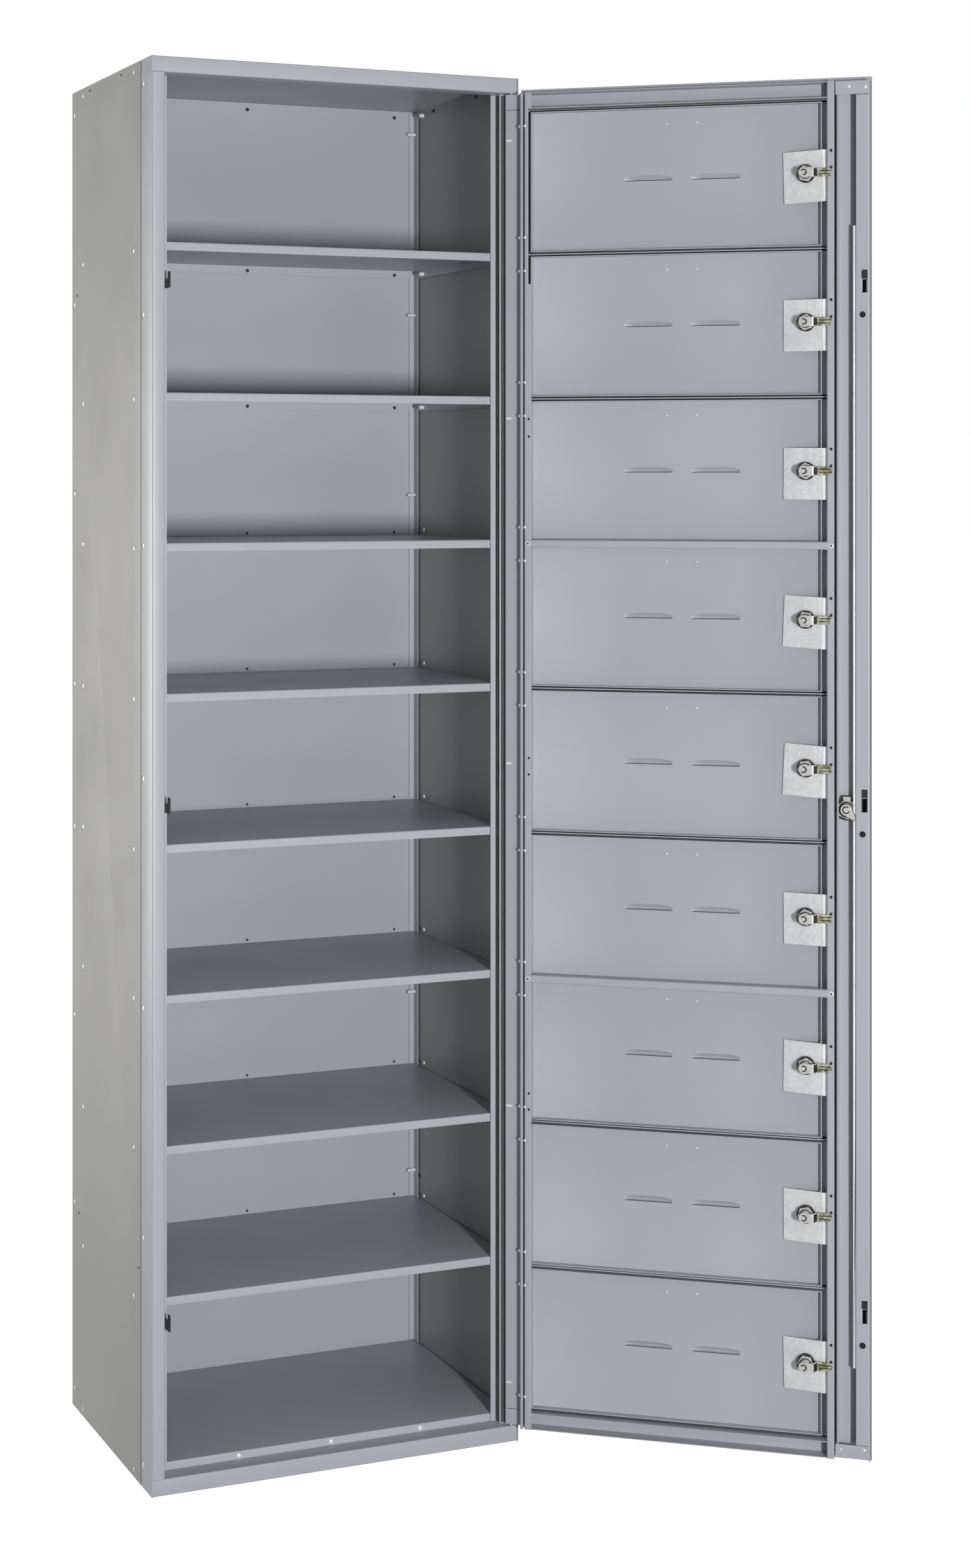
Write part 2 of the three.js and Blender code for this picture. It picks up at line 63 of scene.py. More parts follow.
FLOOR_TOP = 37
BACK_FRONT = 424.5
DOOR_LEFT, DOOR_RIGHT, DOOR_BOTTOM, DOOR_TOP, DOOR_DEEP = 21.5, 594, 27.5, 2108, 27
SKIN_BOTTOM, SKIN_TOP, SKIN_NOTCH = 21.5, 2116, 570
LIP_BOTTOM, LIP_TOP = 52, 2086
LIP_MIDDLE = DOOR_DEEP - HALF
HINGE_EDGE_DEEP, HINGE_STEP, HINGE_LIP_END = 9.5, 564, 560.3
HINGE_SKIN_END, HINGE_STRIP_END = 557, 547
LOCK_LIP_END, LOCK_SKIN_END, LATCH_LIP_END = 42, 86.5, 75
RAIL_TOP, RAIL_BOTTOM = 2083, 52.5
RAIL_SPAN = (LOCK_SKIN_END + GAP, HINGE_SKIN_END - GAP)
SMALL_LEFT, SMALL_FLANGE, SMALL_RIGHT, SMALL_DEEP, SMALL_GAP = 88.5, 96, 551.5, 13.5, 3
TOP_GAP = 1857
LOCK_X, LOCK_END, LOCK_DROP = 119.5, 38, 111
CAM_TIP = 78
MASTER_LOCK = (57.5, 1007.4)
MASTER_CAM_ANGLE = math.radians(228)
SLOT_BOTTOMS = [1787.5, 1005, 235.5]
SLOT_TALL = 34.5
LIP_HOLE_X, LIP_HOLE_DROP = 32.5, 33
BAR_BACK = 22.5
SMALL_TOPS = [TOP_GAP + PITCH - SMALL_GAP / 2 - PITCH * i for i in BAYS]
LOCK_ZS = [top - LOCK_DROP for top in SMALL_TOPS]
LIP_HOLES = [(LIP_HOLE_X, z - LIP_HOLE_DROP) for z in SLOT_BOTTOMS]

CABINET = Matrix.Scale(0.001, 4) @ Matrix.Translation((-WIDTH / 2, -DEPTH / 2, 0))
SWING = Matrix.Translation((*PIVOT, 0)) @ Matrix.Rotation(OPEN_ANGLE, 4, "Z")
DOOR = CABINET @ SWING @ Matrix.Translation((-PIVOT[0], -PIVOT[1], 0))


# Materials ----------------------------------------------------------------------------


MIX_FACTOR, MIX_A, MIX_B, MIX_RESULT = 0, 6, 7, 2


class Nodes:
    """A material's node tree, with short calls to add nodes and links."""

    def __init__(self, name):
        self.material = bpy.data.materials.new(name)
        self.material.use_nodes = True
        self.tree = self.material.node_tree
        self.shader = self.tree.nodes["Principled BSDF"]
        self.place = self.add("ShaderNodeTexCoord").outputs["Object"]

    def add(self, kind, **values):
        node = self.tree.nodes.new(kind)
        for key, value in values.items():
            if key in node.inputs:
                node.inputs[key].default_value = value
            else:
                setattr(node, key, value)
        return node

    def link(self, a, b):
        self.tree.links.new(a, b)

    def noise(self, scale, detail=3.0, stretch=(1, 1, 1)):
        mapping = self.add("ShaderNodeMapping")
        mapping.inputs["Scale"].default_value = stretch
        self.link(self.place, mapping.inputs["Vector"])
        node = self.add("ShaderNodeTexNoise", Scale=scale, Detail=detail)
        self.link(mapping.outputs["Vector"], node.inputs["Vector"])
        return node.outputs["Fac"]

    def ramp(self, value, low, high, start=0.3, end=0.7):
        node = self.add("ShaderNodeMapRange")
        node.inputs["From Min"].default_value = start
        node.inputs["From Max"].default_value = end
        node.inputs["To Min"].default_value = low
        node.inputs["To Max"].default_value = high
        self.link(value, node.inputs["Value"])
        return node.outputs["Result"]

    def mix(self, value, a, b):
        node = self.add("ShaderNodeMix", data_type="RGBA")
        node.inputs[MIX_A].default_value = (*a, 1)
        node.inputs[MIX_B].default_value = (*b, 1)
        self.link(value, node.inputs[MIX_FACTOR])
        return node.outputs[MIX_RESULT]

    def bump(self, height, strength, distance):
        node = self.add("ShaderNodeBump", Strength=strength, Distance=distance)
        self.link(height, node.inputs["Height"])
        self.link(node.outputs["Normal"], self.shader.inputs["Normal"])


def shade_of(colour, factor):
    return tuple(min(1.0, c * factor) for c in colour)


def paint(name, colour, roughness):
    """Powder coat: orange peel and slight cloudiness."""
    n = Nodes(name)
    cloud = n.ramp(n.noise(scale=2.2, detail=4), 0, 1, start=0.35, end=0.65)
    tone = n.mix(cloud, shade_of(colour, 0.97), shade_of(colour, 1.03))
    n.link(tone, n.shader.inputs["Base Color"])
    sheen = n.ramp(n.noise(scale=7, detail=4), low=roughness - 0.03, high=roughness + 0.03)
    n.link(sheen, n.shader.inputs["Roughness"])
    n.shader.inputs["Specular IOR Level"].default_value = 0.5
    n.bump(n.noise(scale=900, detail=2), strength=0.1, distance=0.0002)
    return n.material


def galvanised(name, colour):
    """Zinc coat: spangle, with fine upright scratches."""
    n = Nodes(name)
    spangle = n.add("ShaderNodeTexVoronoi", Scale=260.0)
    n.link(n.place, spangle.inputs["Vector"])
    flake = n.ramp(spangle.outputs["Color"], 0, 1, start=0.1, end=0.9)
    smear = n.ramp(n.noise(scale=24, detail=5), low=0.93, high=1.05)
    tint = n.mix(flake, shade_of(colour, 0.90), shade_of(colour, 1.04))
    wash = n.add("ShaderNodeMix", data_type="RGBA", blend_type="MULTIPLY")
    wash.inputs[MIX_FACTOR].default_value = 1
    n.link(tint, wash.inputs[MIX_A])
    n.link(smear, wash.inputs[MIX_B])
    n.link(wash.outputs[MIX_RESULT], n.shader.inputs["Base Color"])
    scratch = n.noise(scale=260, detail=6, stretch=(1, 1, 0.06))
    n.link(n.ramp(scratch, low=0.4, high=0.6), n.shader.inputs["Roughness"])
    n.shader.inputs["Metallic"].default_value = 0.35
    n.bump(scratch, strength=0.25, distance=0.0002)
    return n.material


def metal(name, colour, roughness, metallic):
    """Plated or bare metal with a blotchy colour and a fine grain."""
    n = Nodes(name)
    cloud = n.ramp(n.noise(scale=180, detail=4), 0, 1)
    n.link(n.mix(cloud, shade_of(colour, 0.9), colour), n.shader.inputs["Base Color"])
    grain = n.ramp(n.noise(scale=500, detail=4), low=roughness, high=roughness + 0.12)
    n.link(grain, n.shader.inputs["Roughness"])
    n.shader.inputs["Metallic"].default_value = metallic
    n.bump(n.noise(scale=1200, detail=3), strength=0.15, distance=0.0002)
    return n.material


def yellow_plate(name):
    """Chromate over zinc: yellow, green and brown patches on bright metal."""
    n = Nodes(name)
    patches = n.ramp(n.noise(scale=150, detail=3), 0, 1, start=0.4, end=0.6)
    pale, olive = (0.74, 0.73, 0.60), (0.22, 0.25, 0.12)
    n.link(n.mix(patches, pale, olive), n.shader.inputs["Base Color"])
    n.link(n.ramp(n.noise(scale=400, detail=4), low=0.2, high=0.35), n.shader.inputs["Roughness"])
    n.shader.inputs["Metallic"].default_value = 0.5
    return n.material


def plain_dark(name, colour):
    """Painted shade: a flat dark colour for the unlit inside of a hole, a joint or a recess."""
    n = Nodes(name)
    # The painted shade is mottled a little.
    shade_mottle = n.ramp(n.noise(scale=90), 0, 1)
    n.link(n.mix(shade_mottle, colour, shade_of(colour, 1.4)), n.shader.inputs["Base Color"])
    n.link(n.ramp(n.noise(scale=60), low=0.5, high=0.7), n.shader.inputs["Roughness"])
    return n.material


PAINT = paint("painted_steel", (0.400, 0.419, 0.451), roughness=0.38)
SIDE = paint("side_paint", (0.33, 0.332, 0.328), roughness=0.38)
GALVANISED = galvanised("galvanised_steel", (0.90, 0.92, 0.93))
ZINC = metal("zinc_plate", (0.70, 0.69, 0.66), roughness=0.22, metallic=0.35)
CHROMATE = yellow_plate("chromate_steel")
# Dark steel for the catches, clips, studs and rivets; the same material is also painted shade in
# the locks' dark rings and the cams' dark outlines and strips.
DARK_STEEL_AND_SHADE = metal("dark_steel", (0.03, 0.03, 0.033), roughness=0.45, metallic=0.5)
SCREW = metal("screw_white", (0.80, 0.80, 0.80), roughness=0.3, metallic=0.2)
# Painted shade: a near-black colour for deep holes and gaps.
HOLE_SHADE = plain_dark("painted_hole_shade", (0.012, 0.012, 0.013))
# Painted shade for the jamb's recess beside the hinge edge.
REVEAL_SHADE = plain_dark("painted_reveal_shade", (0.05, 0.053, 0.056))


# Shapes, all in millimetres -----------------------------------------------------------


def rounded_path(points, radius, steps=4):
    """Samples (point, normal) along a polyline whose corners are rounded."""
    pts = [Vector(p) for p in points]
    out = []

    def normal(d):
        return Vector((-d.y, d.x))

    first = (pts[1] - pts[0]).normalized()
    out.append((pts[0], normal(first)))
    for i in range(1, len(pts) - 1):
        a = (pts[i] - pts[i - 1]).normalized()
        b = (pts[i + 1] - pts[i]).normalized()
        turn = math.atan2(a.x * b.y - a.y * b.x, a.dot(b))
        cut = radius * math.tan(abs(turn) / 2)
        start = pts[i] - a * cut
        centre = start + normal(a) * math.copysign(radius, turn)
        for k in range(steps + 1):
            angle = turn * k / steps
            n = normal(a)
            n.rotate(Matrix.Rotation(angle, 2))
            out.append((centre - n * math.copysign(radius, turn), n))
    last = (pts[-1] - pts[-2]).normalized()
    out.append((pts[-1], normal(last)))
    return out


AXES = {
    "z": lambda a, b, c: (a, b, c),
    "x": lambda a, b, c: (c, a, b),
    "y": lambda a, b, c: (a, c, b),
}


def add_sheet(bm, points, start, end, along="z", thickness=T, bend=1.4):
    """Bent sheet: a rounded section, swept along one axis.

    The section is (x, y) along z, (y, z) along x and (x, z) along y.
    """
    to3 = AXES[along]
    path = rounded_path(points, bend)
    rings = []
    for c in (start, end):
        ring = []
        for side in (1, -1):
            ring.append([bm.verts.new(to3(*(p + n * side * thickness / 2), c)) for p, n in path])
        rings.append(ring)
    (la, ra), (lb, rb) = rings
    for i in range(len(path) - 1):
        bm.faces.new((la[i], la[i + 1], lb[i + 1], lb[i]))
        bm.faces.new((ra[i + 1], ra[i], rb[i], rb[i + 1]))
        bm.faces.new((la[i + 1], la[i], ra[i], ra[i + 1]))
        bm.faces.new((lb[i], lb[i + 1], rb[i + 1], rb[i]))
    for i in (0, -1):
        bm.faces.new((la[i], lb[i], rb[i], ra[i]) if i == 0 else (lb[i], la[i], ra[i], rb[i]))


def add_box(bm, x0, x1, y0, y1, z0, z1):
    made = bmesh.ops.create_cube(bm, size=1)["verts"]
    for v in made:
        v.co = Vector(((x0, x1)[v.co.x > 0], (y0, y1)[v.co.y > 0], (z0, z1)[v.co.z > 0]))


def add_prism(bm, outline, low, high, along="y"):
    to3 = AXES[along]
    a = [bm.verts.new(to3(*p, low)) for p in outline]
    b = [bm.verts.new(to3(*p, high)) for p in outline]
    bm.faces.new(a)
    bm.faces.new(list(reversed(b)))
    for i in range(len(a)):
        j = (i + 1) % len(a)
        bm.faces.new((a[j], a[i], b[i], b[j]))


def add_turned(bm, centre, profile, along="y", sides=24, phase=0.0):
    """A turned shape: its profile is a row of (radius, distance along the axis)."""
    to3 = AXES[along]
    rings = []
    for radius, height in profile:
        if radius == 0:
            rings.append([bm.verts.new(to3(*centre, height))])
            continue
        ring = []
        for k in range(sides):
            angle = phase + 2 * math.pi * k / sides
            x = centre[0] + radius * math.cos(angle)
            y = centre[1] + radius * math.sin(angle)
            ring.append(bm.verts.new(to3(x, y, height)))
        rings.append(ring)
    for a, b in zip(rings, rings[1:]):
        for k in range(sides):
            j = (k + 1) % sides
            face = [a[k % len(a)], a[j % len(a)], b[j % len(b)], b[k % len(b)]]
            bm.faces.new(list(dict.fromkeys(face)))


def add_disc(bm, centre, radius, low, high, along="y", sides=20):
    add_turned(bm, centre, [(0, low), (radius, low), (radius, high), (0, high)], along, sides)


def add_head(bm, centre, radius, base, top, along="y"):
    """A domed screw or rivet head, from the surface it sits on to its crown."""
    rise = top - base
    dome = [(1, 0), (0.93, 0.45), (0.6, 0.85)]
    side = [(radius * wide, base + rise * high) for wide, high in dome]
    add_turned(bm, centre, [(0, base), *side, (0, top)], along, sides=20)


def add_socket(bm, centre, radius, mouth, depth, along="y"):
    """The cutter for a dimple that a screw head sinks into."""
    floor = mouth + depth
    profile = [(0, mouth), (radius, mouth), (radius * 0.9, floor), (0, floor)]
    add_turned(bm, centre, profile, along, sides=20)


def oval(x, z, half_x, half_z, sides=20):
    turns = [2 * math.pi * k / sides for k in range(sides)]
    return [(x + half_x * math.cos(a), z + half_z * math.sin(a)) for a in turns]


def finish_mesh(bm, matrix):
    bmesh.ops.recalc_face_normals(bm, faces=bm.faces)
    mesh = bpy.data.meshes.new("mesh")
    bm.to_mesh(mesh)
    bm.free()
    mesh.transform(matrix)
    return mesh


def smooth(mesh, degrees=35):
    mesh.polygons.foreach_set("use_smooth", [True] * len(mesh.polygons))
    mesh.set_sharp_from_angle(angle=math.radians(degrees))


def cut(obj, bm, matrix):
    """Takes the shapes in bm out of the object."""
    tool = bpy.data.objects.new("tool", finish_mesh(bm, matrix))
    bpy.context.scene.collection.objects.link(tool)
    change = obj.modifiers.new("cut", "BOOLEAN")
    change.operation = "DIFFERENCE"
    change.solver = "EXACT"
    change.object = tool
    graph = bpy.context.evaluated_depsgraph_get()
    mesh = bpy.data.meshes.new_from_object(obj.evaluated_get(graph))
    obj.modifiers.clear()
    obj.data = mesh
    bpy.data.objects.remove(tool)


def soften(obj, width=0.3, segments=2):
    """Rounds the cut edges a little, so that they catch the light."""
    bevel = obj.modifiers.new("edges", "BEVEL")
    bevel.width = width / 1000
    bevel.segments = segments
    bevel.limit_method = "ANGLE"
    bevel.angle_limit = math.radians(40)
    bevel.harden_normals = True


def piece(name, draw, matrix, body, material, replaces=(), cuts=None, edge=0.3):
    """One visible piece: draw(bm) fills a mesh in millimetres, which rides on a CAD body."""
    bm = bmesh.new()
    draw(bm)
    obj = bpy.data.objects.new(name, finish_mesh(bm, matrix))
    bpy.context.scene.collection.objects.link(obj)
    if cuts:
        tool = bmesh.new()
        cuts(tool)
        cut(obj, tool, matrix)
    smooth(obj.data)
    obj.data.materials.clear()
    obj.data.materials.append(material)
    if edge:
        soften(obj, edge)
    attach(obj, body)
    if replaces:
        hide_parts(*replaces)
    return obj


# Camera, floor and light --------------------------------------------------------------

CAMERA_PLACE = (-1.46009, -4.09447, 1.51149)
CAMERA_TURN = -23.654
LENS, SENSOR = 62.32, 36
SHIFT = (0.0019, -0.1965)
FAR_CLIP = 200
FLOOR_RADIUS = 60
FLOOR_SEEN, FLOOR_UNSEEN = 0.945, 0.5
FLOOR_GLOW = 0.85
AMBIENT, BACKDROP = 0.275, 1.0
LIGHTS = [
    {
        "name": "key", "place": (-0.45, -5.5, 1.16), "target": (0.3, -0.3, 1.1),
        "size": (0.3, 0.6), "power": 211, "colour": (1, 1, 1),
    },
    {
        "name": "side_fill", "place": (-4.0, 3.5, 1.1), "target": (-0.3, 0, 0.95),
        "size": (2.0, 2.0), "power": 206, "colour": (1.0, 0.985, 0.96),
    },
]


def make_camera():
    data = bpy.data.cameras.new("camera")
    camera = bpy.data.objects.new("camera", data)
    bpy.context.scene.collection.objects.link(camera)
    camera.location = CAMERA_PLACE
    camera.rotation_euler = (math.radians(90), 0, math.radians(CAMERA_TURN))
    data.sensor_fit = "AUTO"
    data.sensor_width = SENSOR
    data.lens = LENS
    data.shift_x, data.shift_y = SHIFT
    data.clip_end = FAR_CLIP
    bpy.context.scene.camera = camera


def make_floor():
    """A pale floor, which glows for the camera and reflects less light onto the locker."""
    bm = bmesh.new()
    bmesh.ops.create_circle(bm, cap_ends=True, radius=FLOOR_RADIUS, segments=96)
    floor = bpy.data.objects.new("floor", finish_mesh(bm, Matrix.Identity(4)))
    bpy.context.scene.collection.objects.link(floor)
    n = Nodes("floor")
    n.link(n.ramp(n.noise(scale=1.5), low=0.86, high=0.94), n.shader.inputs["Roughness"])
    n.shader.inputs["Emission Color"].default_value = (1, 1, 1, 1)
    seen = n.add("ShaderNodeLightPath").outputs["Is Camera Ray"]
    tone = n.mix(seen, (FLOOR_UNSEEN,) * 3, (FLOOR_SEEN,) * 3)
    n.link(tone, n.shader.inputs["Base Color"])
    n.link(n.ramp(seen, 0, FLOOR_GLOW, start=0, end=1), n.shader.inputs["Emission Strength"])
    floor.data.materials.append(n.material)


def area_light(name, place, target, size, power, colour):
    data = bpy.data.lights.new(name, "AREA")
    data.shape = "RECTANGLE"
    data.size, data.size_y = size
    data.energy = power
    data.color = colour
    light = bpy.data.objects.new(name, data)
    bpy.context.scene.collection.objects.link(light)
    light.location = place
    light.rotation_euler = (Vector(target) - Vector(place)).to_track_quat("-Z", "Y").to_euler()


def make_light():
    """A world that is bright for the camera and dim for the locker, and the area lights."""
    world = bpy.data.worlds.new("studio")
    world.use_nodes = True
    tree = world.node_tree
    background = tree.nodes["Background"]
    background.inputs["Color"].default_value = (1.0, 1.0, 1.0, 1)
    path = tree.nodes.new("ShaderNodeLightPath")
    strength = tree.nodes.new("ShaderNodeMapRange")
    strength.inputs["To Min"].default_value = AMBIENT
    strength.inputs["To Max"].default_value = BACKDROP
    tree.links.new(path.outputs["Is Camera Ray"], strength.inputs["Value"])
    tree.links.new(strength.outputs["Result"], background.inputs["Strength"])
    bpy.context.scene.world = world
    bpy.context.scene.view_settings.view_transform = "Standard"
    for light in LIGHTS:
        area_light(**light)


# Cabinet ------------------------------------------------------------------------------


SIDE_SCREW_ZS = [2123, 1852, 1628, 1402, 1174, 947, 722, 496.5, 272, 10]
JAMB_SCREW_ZS = [2099, 1753, 1407.5, 1059, 716, 372, 33]
BACK_SCREW_ZS = [2097, 1789, 1483, 1174, 942, 636, 332, 29.5]
SIDE_SCREWS = [(y, z) for y in (98, 385) for z in SIDE_SCREW_ZS]
SIDE_SCREWS += [(436.5, z) for z in BACK_SCREW_ZS]
JAMB_SCREWS = [(47, z) for z in JAMB_SCREW_ZS]
SIDE_SLOTS = [(163, 2125.7), (341.9, 2125.4), (418.9, 1803.1), (406.9, 320.9), (68.8, 322.9)]
SCREW_RADIUS, SCREW_SINK, SOCKET_RIM = 4.6, 0.8, 0.7
TAB_SLOT, TAB_SLOT_SHADE = (5, 1.3), (6.5, 2.6)
SIDE_FRONT = 58.2
SIDE_JOGGLE = (61.4, 58.6, 40.7)
SIDE_UNDER = T + GAP + HALF
CUT_PAST = 0.2


def mirrored(bm_points, mirror):
    return [(WIDTH - x if mirror else x, *rest) for x, *rest in bm_points]


def face_span(mirror, x0, x1):
    return (WIDTH - x1, WIDTH - x0) if mirror else (x0, x1)


def sockets(screws, mirror, slots=()):
    """Cutters for the screws' dimples and for the tab slots."""
    def fill(bm):
        mouth = WIDTH + CUT_PAST if mirror else -CUT_PAST
        depth = -SCREW_SINK - CUT_PAST if mirror else SCREW_SINK + CUT_PAST
        for place in screws:
            add_socket(bm, place, SCREW_RADIUS + SOCKET_RIM, mouth, depth, "x")
        half_y, half_z = TAB_SLOT
        for y, z in slots:
            span = face_span(mirror, -1, T + 0.5)
            add_box(bm, *span, y - half_y, y + half_y, z - half_z, z + half_z)

    return fill


def side_screws(name, screws, mirror):
    def fill(bm):
        base, top = SCREW_SINK - HAIR, 3 * HAIR
        if mirror:
            base, top = WIDTH - base, WIDTH - top
        for place in screws:
            add_head(bm, place, SCREW_RADIUS, base, top, "x")

    piece(name, fill, CABINET, "cabinet", SCREW, edge=0)


def sides():
    for side, mirror in (("left", False), ("right", True)):
        def panel(bm, mirror=mirror):
            outer, under, end = SIDE_JOGGLE
            back = DEPTH - HAIR
            path = [(HALF, back), (HALF, outer), (SIDE_UNDER, under), (SIDE_UNDER, end)]
            add_sheet(bm, mirrored(path, mirror), SILL_TOP, HEADER_BOTTOM)
            span = face_span(mirror, 0, T)
            add_box(bm, *span, SIDE_FRONT, back, HAIR, SILL_TOP - HAIR)
            add_box(bm, *span, SIDE_FRONT, back, HEADER_BOTTOM + HAIR, HEIGHT - HAIR)

        def seam_shade(bm, mirror=mirror):
            # Painted shade: a dark strip on the joggle's floor, for the shadowed gap beside the
            # jamb.
            span = face_span(mirror, 1.35, 1.75)
            add_box(bm, *span, JAMB_SIDE + 0.1, 58.3, SILL_TOP + 1, HEADER_BOTTOM - 1)

        def behind_slots(bm, mirror=mirror):
            half_y, half_z = TAB_SLOT_SHADE
            span = face_span(mirror, T + 0.1, T + 0.25)
            for y, z in SIDE_SLOTS:
                add_box(bm, *span, y - half_y, y + half_y, z - half_z, z + half_z)

        cutters = sockets(SIDE_SCREWS, mirror, SIDE_SLOTS)
        node = f"{side}_side_panel"
        piece(f"{side}_side_sheet", panel, CABINET, "cabinet", SIDE, [node], cutters)
        piece(f"{side}_side_seam", seam_shade, CABINET, "cabinet", HOLE_SHADE, edge=0)
        piece(f"{side}_side_slot_shades", behind_slots, CABINET, "cabinet", HOLE_SHADE, edge=0)
        side_screws(f"{side}_side_screws", SIDE_SCREWS, mirror)
        side_screws(f"{side}_jamb_screws", JAMB_SCREWS, mirror)


def jambs():
    def left(bm):
        inner, stop = LEFT_JAMB_WIDE - HALF, STOP_FRONT + HALF
        path = [(HALF, JAMB_SIDE), (HALF, HALF), (inner, HALF), (inner, stop)]
        path += [(LEFT_STOP_END, stop)]
        add_sheet(bm, path, SILL_TOP + GAP, HEADER_BOTTOM - GAP)
        add_box(bm, 0, T, 0, JAMB_SIDE, HAIR, SILL_TOP + GAP - HAIR)
        add_box(bm, 0, T, 0, JAMB_SIDE, HEADER_BOTTOM - GAP + HAIR, HEIGHT - HAIR)

    def right(bm):
        outer, front = WIDTH - HALF, RIGHT_JAMB_FRONT + HALF
        inner, stop = RIGHT_JAMB_LEFT + HALF, STOP_FRONT + HALF
        path = [(outer, JAMB_SIDE), (outer, front), (inner, front), (inner, stop)]
        path += [(RIGHT_STOP_END, stop)]
        add_sheet(bm, path, SILL_TOP + GAP, HEADER_BOTTOM - GAP)
        add_box(bm, WIDTH - T, WIDTH, 0, JAMB_SIDE, HAIR, SILL_TOP + GAP - HAIR)
        add_box(bm, WIDTH - T, WIDTH, 0, JAMB_SIDE, HEADER_BOTTOM - GAP + HAIR, HEIGHT - HAIR)

    def reveal(bm):
        """Painted shade: dark strips in the recess that the door's hinge edge turns in."""
        front, left = RIGHT_JAMB_FRONT - 0.05, RIGHT_JAMB_LEFT - 0.05
        span = (SILL_TOP + 2, HEADER_BOTTOM - 2)
        add_box(bm, 572.3, 592.4, front - 0.4, front, *span)
        add_box(bm, left - 0.35, left, 18.6, 32.6, *span)

    low_cuts, high_cuts = sockets(JAMB_SCREWS, False), sockets(JAMB_SCREWS, True)
    piece("right_jamb_reveal_shade", reveal, CABINET, "cabinet", REVEAL_SHADE, edge=0)
    piece("left_jamb_sheet", left, CABINET, "cabinet", PAINT, ["left_jamb"], low_cuts)
    piece("right_jamb_sheet", right, CABINET, "cabinet", PAINT, ["right_jamb"], high_cuts)


FLOOR_RIVET_XS = (147.5, 296, 444)
FLOOR_RIVET_DROP = 7


def frame_rails():
    for name, z0, z1 in (("header", HEADER_BOTTOM, HEIGHT), ("sill", 0, SILL_TOP)):
        def rail(bm, z0=z0, z1=z1):
            front, low, high = FRAME_FACE + HALF, z0 + HALF + HAIR, z1 - HALF - HAIR
            points = [(FRAME_DEEP, low), (front, low), (front, high), (FRAME_DEEP, high)]
            add_sheet(bm, points, T + GAP, WIDTH - T - GAP, "x")

        piece(f"{name}_channel", rail, CABINET, "cabinet", PAINT, [name])

    def rivets(bm):
        for x in FLOOR_RIVET_XS:
            place = (x, FLOOR_TOP - FLOOR_RIVET_DROP)
            add_head(bm, place, radius=3.6, base=SHELF_FRONT, top=SHELF_FRONT - 1)

    piece("floor_rivets", rivets, CABINET, "cabinet", SCREW, edge=0)


POST = [(582, 422.9), (590.9, 422.9), (590.9, 404)]
POST_TOP = 2130
POST_BOLT_Y, POST_BOLT_DROP = 417, 4


def back_corner():
    """The angle up the right rear corner, and the ends of the screws through it."""
    def post(bm):
        add_sheet(bm, POST, FLOOR_TOP + 0.5, POST_TOP, thickness=SHELF_SHEET, bend=1.2)

    def bolts(bm):
        for z in BACK_SCREW_ZS[:-1]:
            place = (POST_BOLT_Y, z - POST_BOLT_DROP)
            add_disc(bm, place, 2.7, 576.5, 590.2, "x", sides=14)
            add_disc(bm, place, 3.9, 583.5, 586.5, "x", sides=6)

    piece("rear_corner_angle", post, CABINET, "cabinet", PAINT)
    piece("rear_corner_bolts", bolts, CABINET, "cabinet", SCREW, edge=0)


WALL_BOLT_Y = 378.5
BACK_RIVET_XS = (291.5, 555)
RIVET_DROP = 9
BOLTED_TOPS = [HEADER_BOTTOM + 20, *SHELF_TOPS]


def shelves():
    left, right = 2 * T + 2 * GAP, WIDTH - 2 * T - 2 * GAP
    half = SHELF_SHEET / 2
    front, back = SHELF_FRONT + half, SHELF_BACK - half
    for i, top in enumerate([*SHELF_TOPS, FLOOR_TOP]):
        def tray(bm, top=top):
            points = [(front, top - SHELF_LIP), (front, top - half)]
            points += [(back, top - half), (back, top - SHELF_FLANGE)]
            add_sheet(bm, points, left, right, "x", thickness=SHELF_SHEET, bend=1.2)
            for x in (left, right - SHELF_SHEET):
                foot, crown = top - SHELF_FLANGE, top - SHELF_SHEET - 0.01
                add_box(bm, x, x + SHELF_SHEET, 40, 420, foot, crown)

        node = f"shelf_{i + 1}" if i < len(SHELF_TOPS) else "floor_shelf"
        piece(f"{node}_tray", tray, CABINET, "cabinet", PAINT, [node])

    def wall_bolts(bm):
        for top in BOLTED_TOPS:
            below, above = (WALL_BOLT_Y, top - RIVET_DROP), (WALL_BOLT_Y, top + RIVET_DROP)
            add_disc(bm, below, 3.6, right - 9, right - SHELF_SHEET - HAIR, "x", sides=14)
            if top < HEADER_BOTTOM:
                add_head(bm, above, 3.4, right + 0.25, right - 2.5, "x")

    def back_rivets(bm):
        """Rivets in the shelves' rear flanges, and smaller ones in the back panel above."""
        for top in BOLTED_TOPS:
            for x in BACK_RIVET_XS:
                add_head(bm, (x, top - RIVET_DROP), 3.0, 422.9, 421.8)
                if top < HEADER_BOTTOM:
                    add_head(bm, (x, top + 5), 2.2, BACK_FRONT - 0.05, BACK_FRONT - 0.9)

    piece("shelf_bolts", wall_bolts, CABINET, "cabinet", SCREW, edge=0)
    piece("shelf_rivets", back_rivets, CABINET, "cabinet", DARK_STEEL_AND_SHADE, edge=0)


# Master door --------------------------------------------------------------------------


STRIP_HOLE_ZS = [1599.8, 1572.8, 1072.5, 1047, 550.8, 525.8]
PLUG_WELD_ZS = [2036, 1601.3, 1061.8, 526, 93.3]
LATCH_HOLES = [(80.0, z + rise) for z in LOCK_ZS for rise in (7.5, 33)]
STRIP_HOLE_X, STRIP_NOTCH_END, STRIP_NOTCH_BOTTOM = 551.3, 552.2, 1810
BAR_SLOT = (25, 34)
LIP_HOLE_RADIUS = 4.8
LIP_CUT = (24, 29)
BEHIND_LIP = (24.9, 25.2)
END_CAPS = ((DOOR_BOTTOM, DOOR_BOTTOM + T), (DOOR_TOP - T, DOOR_TOP))
SKIN_TABS = ((SKIN_BOTTOM, DOOR_BOTTOM - HAIR), (DOOR_TOP + HAIR, SKIN_TOP))
RIVET_FROM_TOP, RIVET_FROM_BOTTOM = 25, 24


